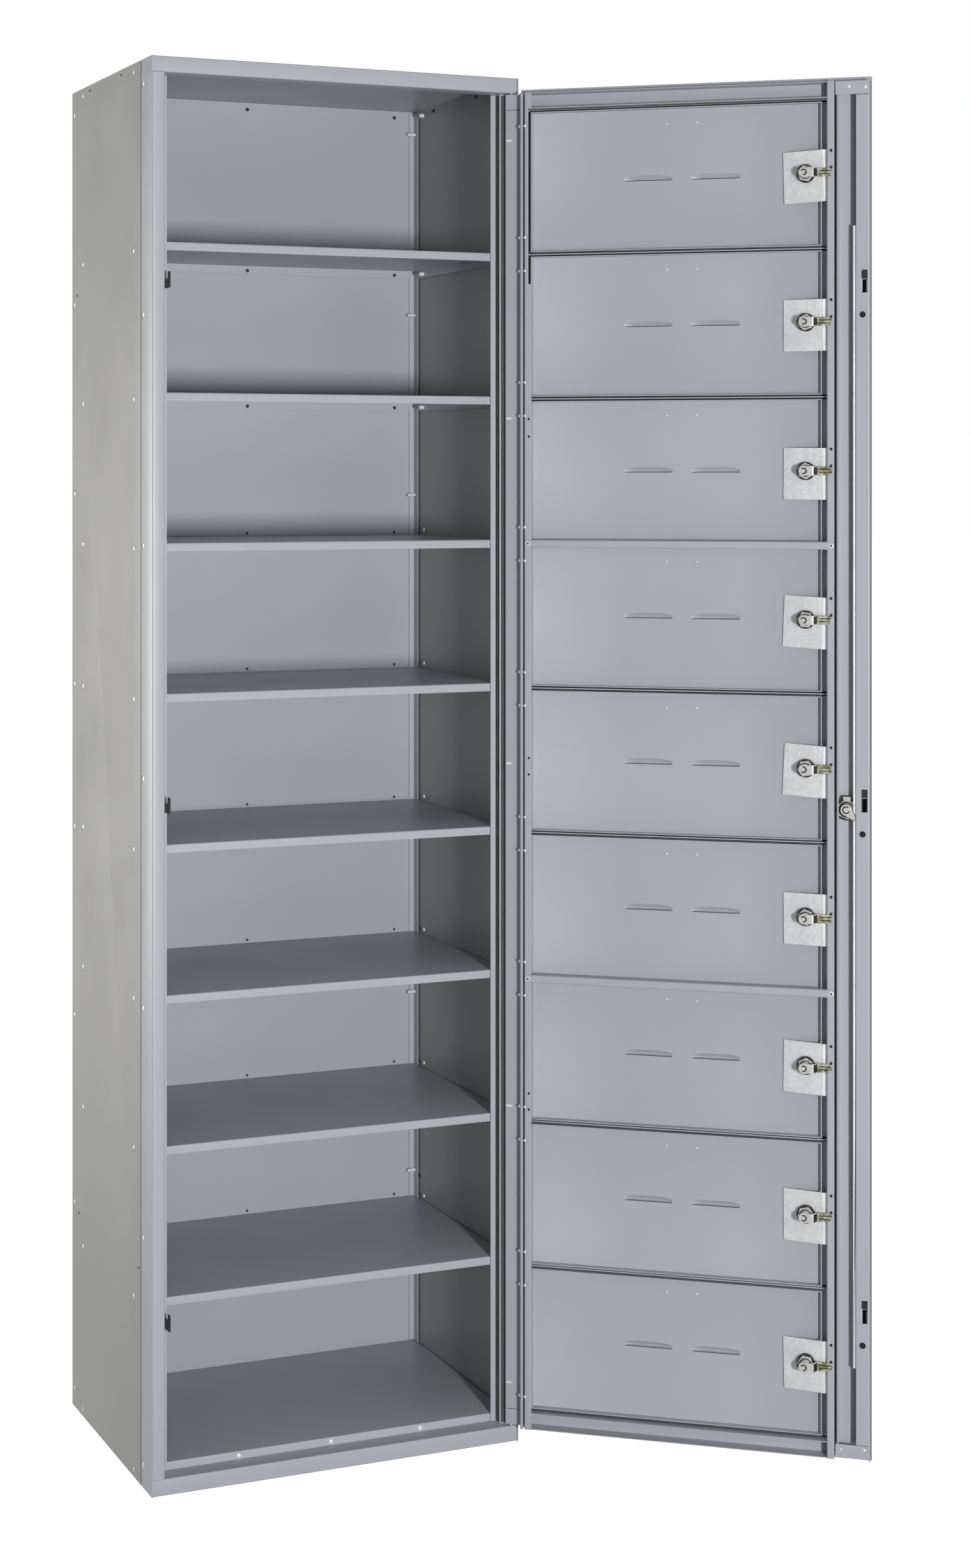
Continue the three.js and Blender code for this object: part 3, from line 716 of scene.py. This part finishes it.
def stiles():
    def hinge(bm):
        skin, edge, step = HINGE_SKIN_END + HALF, DOOR_RIGHT - HALF, HINGE_STEP + HALF
        shallow = HINGE_EDGE_DEEP - HALF
        points = [(HINGE_STRIP_END, LIP_MIDDLE), (skin, LIP_MIDDLE), (skin, HALF), (edge, HALF)]
        points += [(edge, shallow), (step, shallow), (step, LIP_MIDDLE)]
        points += [(HINGE_LIP_END, LIP_MIDDLE)]
        add_sheet(bm, points, DOOR_BOTTOM, DOOR_TOP)
        for z0, z1 in END_CAPS:
            add_box(bm, 559, 592.4, T + 0.1, 7.9, z0, z1)
        for z0, z1 in SKIN_TABS:
            add_box(bm, HINGE_SKIN_END, SKIN_NOTCH, 0, T, z0, z1)

    def strip_holes(bm):
        for z in STRIP_HOLE_ZS:
            add_disc(bm, (STRIP_HOLE_X, z), 1.9, *LIP_CUT, sides=16)
        notch = (HINGE_STRIP_END - 2, STRIP_NOTCH_END)
        add_box(bm, *notch, *LIP_CUT, STRIP_NOTCH_BOTTOM, DOOR_TOP - 24)

    def lock(bm):
        edge, inner = DOOR_LEFT + HALF, LOCK_SKIN_END - HALF
        points = [(LOCK_LIP_END, LIP_MIDDLE), (edge, LIP_MIDDLE), (edge, HALF)]
        points += [(inner, HALF), (inner, LIP_MIDDLE), (LATCH_LIP_END, LIP_MIDDLE)]
        add_sheet(bm, points, DOOR_BOTTOM, DOOR_TOP)
        for z0, z1 in END_CAPS:
            add_box(bm, 23.1, 84.9, T + 0.1, 25.2, z0, z1)
        for z0, z1 in SKIN_TABS:
            add_box(bm, DOOR_LEFT, LOCK_SKIN_END, 0, T, z0, z1)

    def slots(bm):
        for z, hole in zip(SLOT_BOTTOMS, LIP_HOLES):
            add_box(bm, *BAR_SLOT, *LIP_CUT, z, z + SLOT_TALL)
            add_disc(bm, hole, LIP_HOLE_RADIUS, *LIP_CUT)
        for place in LATCH_HOLES:
            add_disc(bm, place, 2.4, *LIP_CUT, sides=16)
        for z0, z1 in ((LIP_TOP, DOOR_TOP + 2), (DOOR_BOTTOM - 2, LIP_BOTTOM)):
            add_box(bm, 23.2, LOCK_LIP_END + 1, 25.3, 29, z0, z1)

    def liner(bm):
        """Inner angle of the stile, whose edge stands just outside the latch lip."""
        points = [(48, 2.4), (71.3, 2.4), (71.3, 24.9), (68.6, 24.9)]
        add_sheet(bm, points, 32, 2103, thickness=1.0, bend=1.1)

    def lip_rims(bm):
        profile = [(4.85, 25.4), (4.85, 27.35), (5.5, 27.5), (6.1, 27.3)]
        profile += [(6.1, 27.02), (4.95, 27.02), (4.95, 25.4)]
        for centre in LIP_HOLES:
            add_turned(bm, centre, [*profile, profile[0]], sides=28)

    def hole_shade_plates(bm):
        # Painted shade: dark squares behind the latch and strip holes.
        half = 2.6
        for x, z in [*LATCH_HOLES, *((STRIP_HOLE_X, z) for z in STRIP_HOLE_ZS)]:
            add_box(bm, x - half, x + half, *BEHIND_LIP, z - half, z + half)

    def rivets(bm):
        for top in SMALL_TOPS:
            for z in (top - RIVET_FROM_TOP, top - PITCH + SMALL_GAP + RIVET_FROM_BOTTOM):
                add_head(bm, (21.5, z), 2.8, 565.45, 569.6, "x")
                add_head(bm, (557.6, z), 1.9, DOOR_DEEP - 0.05, 28.2)

    def hinge_gap_shade(bm):
        """A dark strip behind the small doors' hinge gap."""
        add_box(bm, 552.4, HINGE_SKIN_END - 0.1, 2.4, 2.7, 54, 2081)

    def welds(bm):
        for z in PLUG_WELD_ZS:
            weld = oval(587.5, z, half_x=5.5, half_z=2)
            add_prism(bm, weld, HINGE_EDGE_DEEP - 0.05, HINGE_EDGE_DEEP + 0.45)

    def lip_studs(bm):
        for centre in LIP_HOLES:
            add_head(bm, centre, radius=2.4, base=BAR_BACK + 0.5, top=25.2)

    def bar_shades(bm):
        """Dark plates on the bar, where the lip's slots and holes show it."""
        plate = (BAR_BACK + HAIR, BAR_BACK + 0.5)
        for z, hole in zip(SLOT_BOTTOMS, LIP_HOLES):
            add_box(bm, 24.5, 35.5, *plate, z + 21, z + 38)
            add_disc(bm, hole, 6, *plate)

    def stile_floor_shades(bm):
        """Dark strips on the stile's floor, behind the bar's slots."""
        for z in SLOT_BOTTOMS:
            add_box(bm, 23.2, 47, 1.55, 1.8, z - 20, z + 40)

    piece("hinge_stile_sheet", hinge, DOOR, "master_door", PAINT, ["hinge_stile"], strip_holes)
    piece("lock_stile_sheet", lock, DOOR, "master_door", PAINT, ["lock_stile"], slots)
    piece("lock_stile_liner", liner, DOOR, "master_door", PAINT, edge=0)
    piece("lip_hole_rims", lip_rims, DOOR, "master_door", PAINT, edge=0)
    piece("stile_hole_shades", hole_shade_plates, DOOR, "master_door", HOLE_SHADE, edge=0)
    piece("hinge_stile_rivets", rivets, DOOR, "master_door", SCREW, edge=0)
    piece("stile_floor_shades", stile_floor_shades, DOOR, "master_door", HOLE_SHADE, edge=0)
    piece("hinge_gap_shade", hinge_gap_shade, DOOR, "master_door", HOLE_SHADE, edge=0)
    piece("hinge_stile_welds", welds, DOOR, "master_door", SCREW, edge=0.1)
    piece("lock_bar_studs", lip_studs, DOOR, "lock_bar", DARK_STEEL_AND_SHADE, edge=0)
    piece("lock_bar_shades", bar_shades, DOOR, "lock_bar", HOLE_SHADE, edge=0)


STRIP_ENDS = ((2087, 2107.2), (31, 51))
STRIP_RIVETS = ((54, 2099.5), (29, 2098), (66, 42), (31, 44))


def end_strips():
    """Strips across the ends of the lock stile, riveted on, and the seams beside the end rails."""
    def strips(bm):
        for z0, z1 in STRIP_ENDS:
            add_box(bm, 22.5, 73.5, 25.0, 26.6, z0, z1)

    def rivets(bm):
        for place in STRIP_RIVETS:
            add_head(bm, place, radius=3.3, base=26.55, top=27.6)

    def seams(bm):
        tall = 0.8
        for z in (RAIL_TOP, RAIL_BOTTOM - tall):
            add_box(bm, 569, 592, HINGE_EDGE_DEEP - 0.05, HINGE_EDGE_DEEP + 0.1, z, z + tall)

    piece("stile_end_strips", strips, DOOR, "master_door", PAINT, edge=0.4)
    piece("stile_end_rivets", rivets, DOOR, "master_door", ZINC, edge=0)
    piece("hinge_stile_seams", seams, DOOR, "master_door", DARK_STEEL_AND_SHADE, edge=0)


MID_RAIL_GAPS = {"upper_mid_rail": 2, "lower_mid_rail": 5}
PLAIN_GAPS = [TOP_GAP - PITCH * i for i in range(8) if i not in MID_RAIL_GAPS.values()]
RAIL_DEEP = 25.2
MID_RAIL_FRONT, MID_RAIL_BACK, MID_RAIL_HALF = 14.5, 28.8, 6
RAIL_SCREW_XS = (79.5, 552)
DIVIDER_SPAN = (87, 556.5)


def rails():
    def end(inner, outer, skin):
        half = math.copysign(HALF, outer - inner)
        near, far = inner + half, outer - half
        path = [(RAIL_DEEP, near), (HALF, near), (HALF, far), (RAIL_DEEP, far)]
        low, high = sorted((outer, skin))

        def fill(bm):
            add_sheet(bm, path, *RAIL_SPAN, "x")
            add_box(bm, *RAIL_SPAN, 0, T, low + HAIR, high)

        return fill

    for name, span in (
        ("door_top_rail", (RAIL_TOP, DOOR_TOP, SKIN_TOP)),
        ("door_bottom_rail", (RAIL_BOTTOM, DOOR_BOTTOM, SKIN_BOTTOM)),
    ):
        piece(f"{name}_angle", end(*span), DOOR, "master_door", PAINT, [name])
    for name, gap in MID_RAIL_GAPS.items():
        centre = TOP_GAP - gap * PITCH

        def mid(bm, c=centre):
            half, back = MID_RAIL_HALF - HALF, MID_RAIL_BACK - HALF
            points = [(MID_RAIL_FRONT, c + half), (back, c + half)]
            points += [(back, c - half), (MID_RAIL_FRONT, c - half)]
            add_sheet(bm, points, RAIL_SPAN[0], HINGE_STRIP_END - GAP, "x")
            tab = (MID_RAIL_BACK - T, MID_RAIL_BACK, c - MID_RAIL_HALF, c + MID_RAIL_HALF)
            add_box(bm, LATCH_LIP_END, 86.75, *tab)
            add_box(bm, 546.75, HINGE_SKIN_END, *tab)

        def screws(bm, c=centre):
            profile = [(1.7, 28.7), (1.7, 29.3), (2.6, 29.5), (3.4, 29.2), (3.4, 28.7)]
            for x in RAIL_SCREW_XS:
                add_turned(bm, (x, c), [*profile, profile[0]])

        def bore_shades(bm, c=centre):
            # Painted shade: dark discs in the screw bores.
            for x in RAIL_SCREW_XS:
                add_disc(bm, (x, c), 1.7, 28.75, 29.0)

        piece(f"{name}_channel", mid, DOOR, "master_door", PAINT, [name])
        piece(f"{name}_bores", bore_shades, DOOR, "master_door", HOLE_SHADE, edge=0)
        piece(f"{name}_rivets", screws, DOOR, "master_door", SCREW, edge=0)

    def dividers(bm):
        for z in PLAIN_GAPS:
            add_box(bm, *DIVIDER_SPAN, 2.4, 9, z - 0.8, z + 0.8)

    def gap_shades(bm):
        for z in PLAIN_GAPS:
            add_box(bm, *DIVIDER_SPAN, 1.8, 2.3, z - 3.3, z + 3.3)
        for z in (SMALL_TOPS[0] + 0.9, SMALL_TOPS[-1] - PITCH + SMALL_GAP - 0.9):
            add_box(bm, *DIVIDER_SPAN, 1.8, 2.3, z - 2.5, z + 0.9)

    piece("small_door_dividers", dividers, DOOR, "master_door", PAINT, edge=0)
    piece("small_door_gap_shades", gap_shades, DOOR, "master_door", HOLE_SHADE, edge=0)


LOUVRES = [(366.5, 38), (261, 38)]
LOUVRE_TALL, LOUVRE_DEEP, LOUVRE_ROW = 7.5, 5, 0.75
SLIT_DROP = 112
END_FLANGE_STEP = 2
DOOR_RIVET_XS, DOOR_RIVET_DROP = (338, 290.5), 25


def small_doors():
    for i in BAYS:
        top = SMALL_TOPS[i]
        bottom = top - PITCH + SMALL_GAP

        def tray(bm, bottom=bottom, top=top):
            small_door_mesh(bm, bottom, top)

        body = f"small_door_{i + 1}"
        piece(f"{body}_panel", tray, DOOR, body, PAINT, [body], edge=0)

        def slit_shades(bm, z=top - SLIT_DROP):
            for centre, half in LOUVRES:
                left, right = centre - half * 0.96, centre + half * 0.96
                add_box(bm, left, right, -3.2, T + 0.05, z - 1.3, z - 0.35)

        def rivets(bm, z=top - DOOR_RIVET_DROP):
            for x in DOOR_RIVET_XS:
                add_head(bm, (x, z), radius=1.8, base=T - 0.05, top=T + 1.0)
                add_head(bm, (x, z), radius=1.8, base=0.05, top=-0.9)

        piece(f"{body}_slit_shades", slit_shades, DOOR, body, HOLE_SHADE, edge=0)
        piece(f"{body}_rivets", rivets, DOOR, body, ZINC, edge=0)


def louvre_depth(x, z, slit):
    """How far a pressed louvre stands out of the panel: full at its slit, fading up its arch."""
    for centre, half in LOUVRES:
        u = (x - centre) / half
        if abs(u) >= 1 or z < slit:
            continue
        arch = LOUVRE_TALL * math.sqrt(1 - u * u) ** 0.4
        v = (z - slit) / max(arch, 1e-6)
        if v < 1:
            return LOUVRE_DEEP * math.cos(v * math.pi / 2) * (1 - u ** 6)
    return 0.0


def small_door_mesh(bm, bottom, top):
    """A tray, as rings around its edge and two grids, with the louvres pressed into the grids."""
    slit = top - SLIT_DROP
    xs = [SMALL_FLANGE + 2, SMALL_RIGHT - 2]
    zs = [bottom + END_FLANGE_STEP + 2, top - END_FLANGE_STEP - 2, slit - 0.35, slit - 1]
    for centre, half in LOUVRES:
        xs += [centre - half - 0.6, centre + half + 0.6]
        xs += [centre + half * math.sin(math.pi * k / 28 - math.pi / 2) for k in range(29)]
    zs += [slit + LOUVRE_ROW * k for k in range(13)]
    xs, zs = sorted(xs), sorted(zs)
    nx, nz = len(xs), len(zs)

    def grid(y):
        return [[bm.verts.new((x, y - louvre_depth(x, z, slit), z)) for z in zs] for x in xs]

    def edge_places():
        loop = [(x, zs[0]) for x in xs] + [(xs[-1], z) for z in zs[1:]]
        loop += [(x, zs[-1]) for x in reversed(xs[:-1])]
        return loop + [(xs[0], z) for z in reversed(zs[1:-1])]

    def edge_of(g):
        loop = [g[i][0] for i in range(nx)] + [g[-1][k] for k in range(1, nz)]
        loop += [g[i][-1] for i in range(nx - 2, -1, -1)]
        return loop + [g[0][k] for k in range(nz - 2, 0, -1)]

    def ring(inset, y):
        """A loop around the tray; behind the skin it steps in to the flanges."""
        left = SMALL_FLANGE - SMALL_LEFT if y > T else 0
        ends = END_FLANGE_STEP if y > T else 0
        made = []
        for x, z in edge_places():
            px = SMALL_RIGHT - inset if x == xs[-1] else x
            px = SMALL_LEFT + left + inset if x == xs[0] else px
            pz = bottom + ends + inset if z == zs[0] else top - ends - inset if z == zs[-1] else z
            made.append(bm.verts.new((px, y, pz)))
        return made

    outer, inner = grid(0), grid(T)
    for g in (outer, inner):
        for i in range(nx - 1):
            for k in range(nz - 1):
                bm.faces.new((g[i][k], g[i + 1][k], g[i + 1][k + 1], g[i][k + 1]))
    lip = SMALL_DEEP - 0.3
    profile = [(0.4, 0), (0.1, 0.1), (0, 0.4), (0, 1.3), (0.2, T), (0, 1.7), (0, lip)]
    profile += [(0.3, SMALL_DEEP), (1.2, SMALL_DEEP), (T, lip), (T, 2.0), (1.8, 1.6)]
    loops = [edge_of(outer)] + [ring(*p) for p in profile] + [edge_of(inner)]
    for a, b in zip(loops, loops[1:]):
        for k in range(len(a)):
            j = (k + 1) % len(a)
            bm.faces.new((a[k], a[j], b[j], b[k]))


# Locks --------------------------------------------------------------------------------


PLATE = (85.2, 156)
PLATE_SHEET = 1.6
PLATE_ABOVE, PLATE_BELOW = 35, 43.5
PLATE_TILTS = [1.6, 0.0, -0.4, -2.4, -2.6, 0.6, -0.8, 0.4, 1.2]
NUT_TURNS = [12, 40, 25, 5, 52, 18, 33, 47, 8]
CLIP_HALF = 0.9


def tilt_about(x, z, degrees):
    here = Matrix.Translation((x, 0, z))
    return DOOR @ here @ Matrix.Rotation(math.radians(degrees), 4, "Y") @ here.inverted()


def add_barrel(bm, centre, end, nut_low, nut_high, turn, nut_radius):
    """Head outside, threaded body with a rim at its end, and a hexagonal nut with a chamfer."""
    body = [(0, -3), (10.5, -3), (12, -2.2), (12, -0.4), (8.4, -0.3)]
    for k in range(int((end - 2 - nut_high) / 1.4)):
        low = nut_high + 0.4 + 1.4 * k
        body += [(7.2, low), (7.7, low + 0.5), (7.7, low + 0.8)]
    body += [(7.4, end - 0.7), (6.8, end), (4.2, end), (3.8, end - 0.9), (0, end - 0.9)]
    add_turned(bm, centre, body, sides=40)
    rim = nut_radius * 0.92
    nut = [(8.4, nut_low), (nut_radius, nut_low), (nut_radius, nut_high - 0.8)]
    nut += [(rim, nut_high), (8.4, nut_high)]
    add_turned(bm, centre, [*nut, nut[0]], sides=6, phase=math.radians(turn))


def add_washer(bm, centre, inner, outer, low, high):
    ring = [(inner, low), (outer, low), (outer, high), (inner, high)]
    add_turned(bm, centre, [*ring, ring[0]], sides=36)


def around(centre, radius, angles):
    return [(centre[0] + radius * math.cos(a), centre[1] + radius * math.sin(a)) for a in angles]


def add_clip(bm, centre, radius, low, high, start, sweep):
    """A C-shaped spring clip lying on the barrel's end."""
    steps = 18
    angles = [math.radians(start + sweep * k / steps) for k in range(steps + 1)]
    ring = around(centre, radius + CLIP_HALF, angles)
    ring += around(centre, radius - CLIP_HALF, angles[::-1])
    add_prism(bm, ring, low, high)


def small_lock(i, z):
    body, cam_body = f"small_door_{i + 1}", f"small_cam_{i + 1}"
    centre = (LOCK_X, z)
    low, high = DOOR_DEEP + 1.6, LOCK_END + 1.3

    def plate(bm):
        left, right = PLATE
        span = (z - PLATE_BELOW, z + PLATE_ABOVE)
        edge = right - PLATE_SHEET / 2
        points = [(left, 18.7), (93, 18.7), (edge, 4.5), (edge, 1.9)]
        add_sheet(bm, points, *span, thickness=PLATE_SHEET, bend=1.0)
        add_box(bm, left + 12.6, left + 14.1, 2, 17.85, *span)

    def shades(bm):
        add_washer(bm, centre, 8.5, 13.9, 12.5, 19.6)
        add_washer(bm, centre, 7.75, 9.0, 23.52, 24.1)

    def cam(bm):
        path = [(100.4, low), (101.5, low), (105.5, high), (LOCK_X, high)]
        add_sheet(bm, path, z - 7, z + 7, thickness=2, bend=1.2)
        hub = [(0, high - 1), (7.6, high - 1), (8.0, high - 0.6)]
        hub += [(8.0, high + 0.7), (7.5, high + 1.1), (0, high + 1.1)]
        add_turned(bm, centre, hub, sides=36)

    def finger(bm):
        wide, narrow, near, far = 7, 3, CAM_TIP + 3, 100.3
        tip = [(far, z - wide), (far, z + wide), (near, z + 6), (CAM_TIP, z + narrow)]
        tip += [(CAM_TIP, z - narrow), (near, z - 6)]
        add_prism(bm, tip, low - 1, low + 0.8)
        for rise in (-4.6, 0.2, 4.6):
            add_box(bm, near, far - 2, low + 0.85, low + 1.5, z + rise - 1, z + rise + 1)

    # The spring clip, and painted shade on the cam's riser and between the finger's ribs.
    def clip(bm):
        add_clip(bm, centre, 4.0, high + 1.12, high + 1.9, NUT_TURNS[i] + 20, 245)
        # Painted shade: a thin dark sheet on the cam's sloping riser.
        slope = [(100.6, low + 1.5), (104.0, high - 0.1)]
        add_sheet(bm, slope, z - 5.8, z + 5.8, thickness=0.5, bend=0.1)
        # Painted shade: dark strips between the finger's ribs.
        for rise in (-2.2, 2.4):
            add_box(bm, CAM_TIP + 2, 98, low + 0.85, low + 1.1, z + rise - 0.7, z + rise + 0.7)

    turned = tilt_about(LOCK_X, z, PLATE_TILTS[i])
    piece(f"{body}_lock_plate", plate, turned, body, GALVANISED, [f"small_lock_{i + 1}"])
    piece(f"{body}_lock_shades", shades, DOOR, body, DARK_STEEL_AND_SHADE, edge=0)
    barrel_args = (centre, LOCK_END, 19.65, 23.5, NUT_TURNS[i], 12.8)
    piece(f"{body}_lock_barrel", lambda bm: add_barrel(bm, *barrel_args), DOOR, body, ZINC, edge=0)
    piece(f"{cam_body}_plate", cam, DOOR, cam_body, ZINC, [cam_body], edge=0.2)
    piece(f"{cam_body}_finger", finger, DOOR, cam_body, CHROMATE, edge=0.2)
    piece(f"{cam_body}_clip", clip, DOOR, cam_body, DARK_STEEL_AND_SHADE, edge=0)


def master_lock():
    x, z = MASTER_LOCK
    back = BAR_BACK

    def barrel(bm):
        add_barrel(bm, MASTER_LOCK, back, 14.5, 18.5, 20, 15.4)
        add_box(bm, x - 5.5, x + 5.5, 14.5, 16.2, z + 13, z + 19)

    def shades(bm):
        add_washer(bm, MASTER_LOCK, 8.5, 17.0, 13.3, 14.4)
        add_washer(bm, MASTER_LOCK, 9.9, 12.2, 18.55, 19.1)
        add_box(bm, x - 7, x + 7, 13.3, 14.4, z + 13, z + 20.4)

    def teardrop(grow):
        along = Vector((math.cos(MASTER_CAM_ANGLE), math.sin(MASTER_CAM_ANGLE)))
        across = Vector((-along.y, along.x))
        middle, hub, reach, half = Vector(MASTER_LOCK), 8.6 + grow, 19 + grow, 2.2 + grow
        turns = [math.radians(55 + 250 * k / 24) for k in range(25)]
        outline = [middle + along * hub * math.cos(a) + across * hub * math.sin(a) for a in turns]
        outline += [middle + along * reach - across * half, middle + along * reach + across * half]
        return [tuple(point) for point in outline]

    def cam(bm):
        add_prism(bm, teardrop(0), back + 0.55, back + 2.3)

    def clip(bm):
        # Painted shadow: a dark outline just larger than the cam, under it.
        add_prism(bm, teardrop(0.9), back + 0.1, back + 0.5)
        add_clip(bm, MASTER_LOCK, 5.0, back + 2.35, back + 2.95, 200, 290)

    piece("master_lock_barrel", barrel, DOOR, "master_door", ZINC, ["master_lock"], edge=0)
    piece("master_lock_shades", shades, DOOR, "master_door", DARK_STEEL_AND_SHADE, edge=0)
    piece("master_cam_plate", cam, DOOR, "master_cam", ZINC, ["master_cam"])
    piece("master_cam_clip", clip, DOOR, "master_cam", DARK_STEEL_AND_SHADE, edge=0)


def locks():
    for i, z in enumerate(LOCK_ZS):
        small_lock(i, z)
    master_lock()


# Kept CAD nodes -----------------------------------------------------------------------

KEPT = {
    "back_panel": PAINT, "top_panel": PAINT, "bottom_panel": PAINT,
    "catch_1": DARK_STEEL_AND_SHADE, "catch_2": DARK_STEEL_AND_SHADE, "catch_3": DARK_STEEL_AND_SHADE,
    "top_pivot_pin": ZINC, "bottom_pivot_pin": ZINC, "small_door_hinge_rod": ZINC,
    "lock_bar": GALVANISED,
}


def dress_kept_nodes():
    for name, material in KEPT.items():
        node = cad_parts[name]
        node.data.materials.clear()
        node.data.materials.append(material)
        flat = node.modifiers.new("flat", "DECIMATE")
        flat.decimate_type = "DISSOLVE"
        flat.angle_limit = math.radians(2)
        soften(node, 0.35)


make_camera()
make_floor()
make_light()
sides()
jambs()
frame_rails()
shelves()
back_corner()
stiles()
end_strips()
rails()
small_doors()
locks()
dress_kept_nodes()
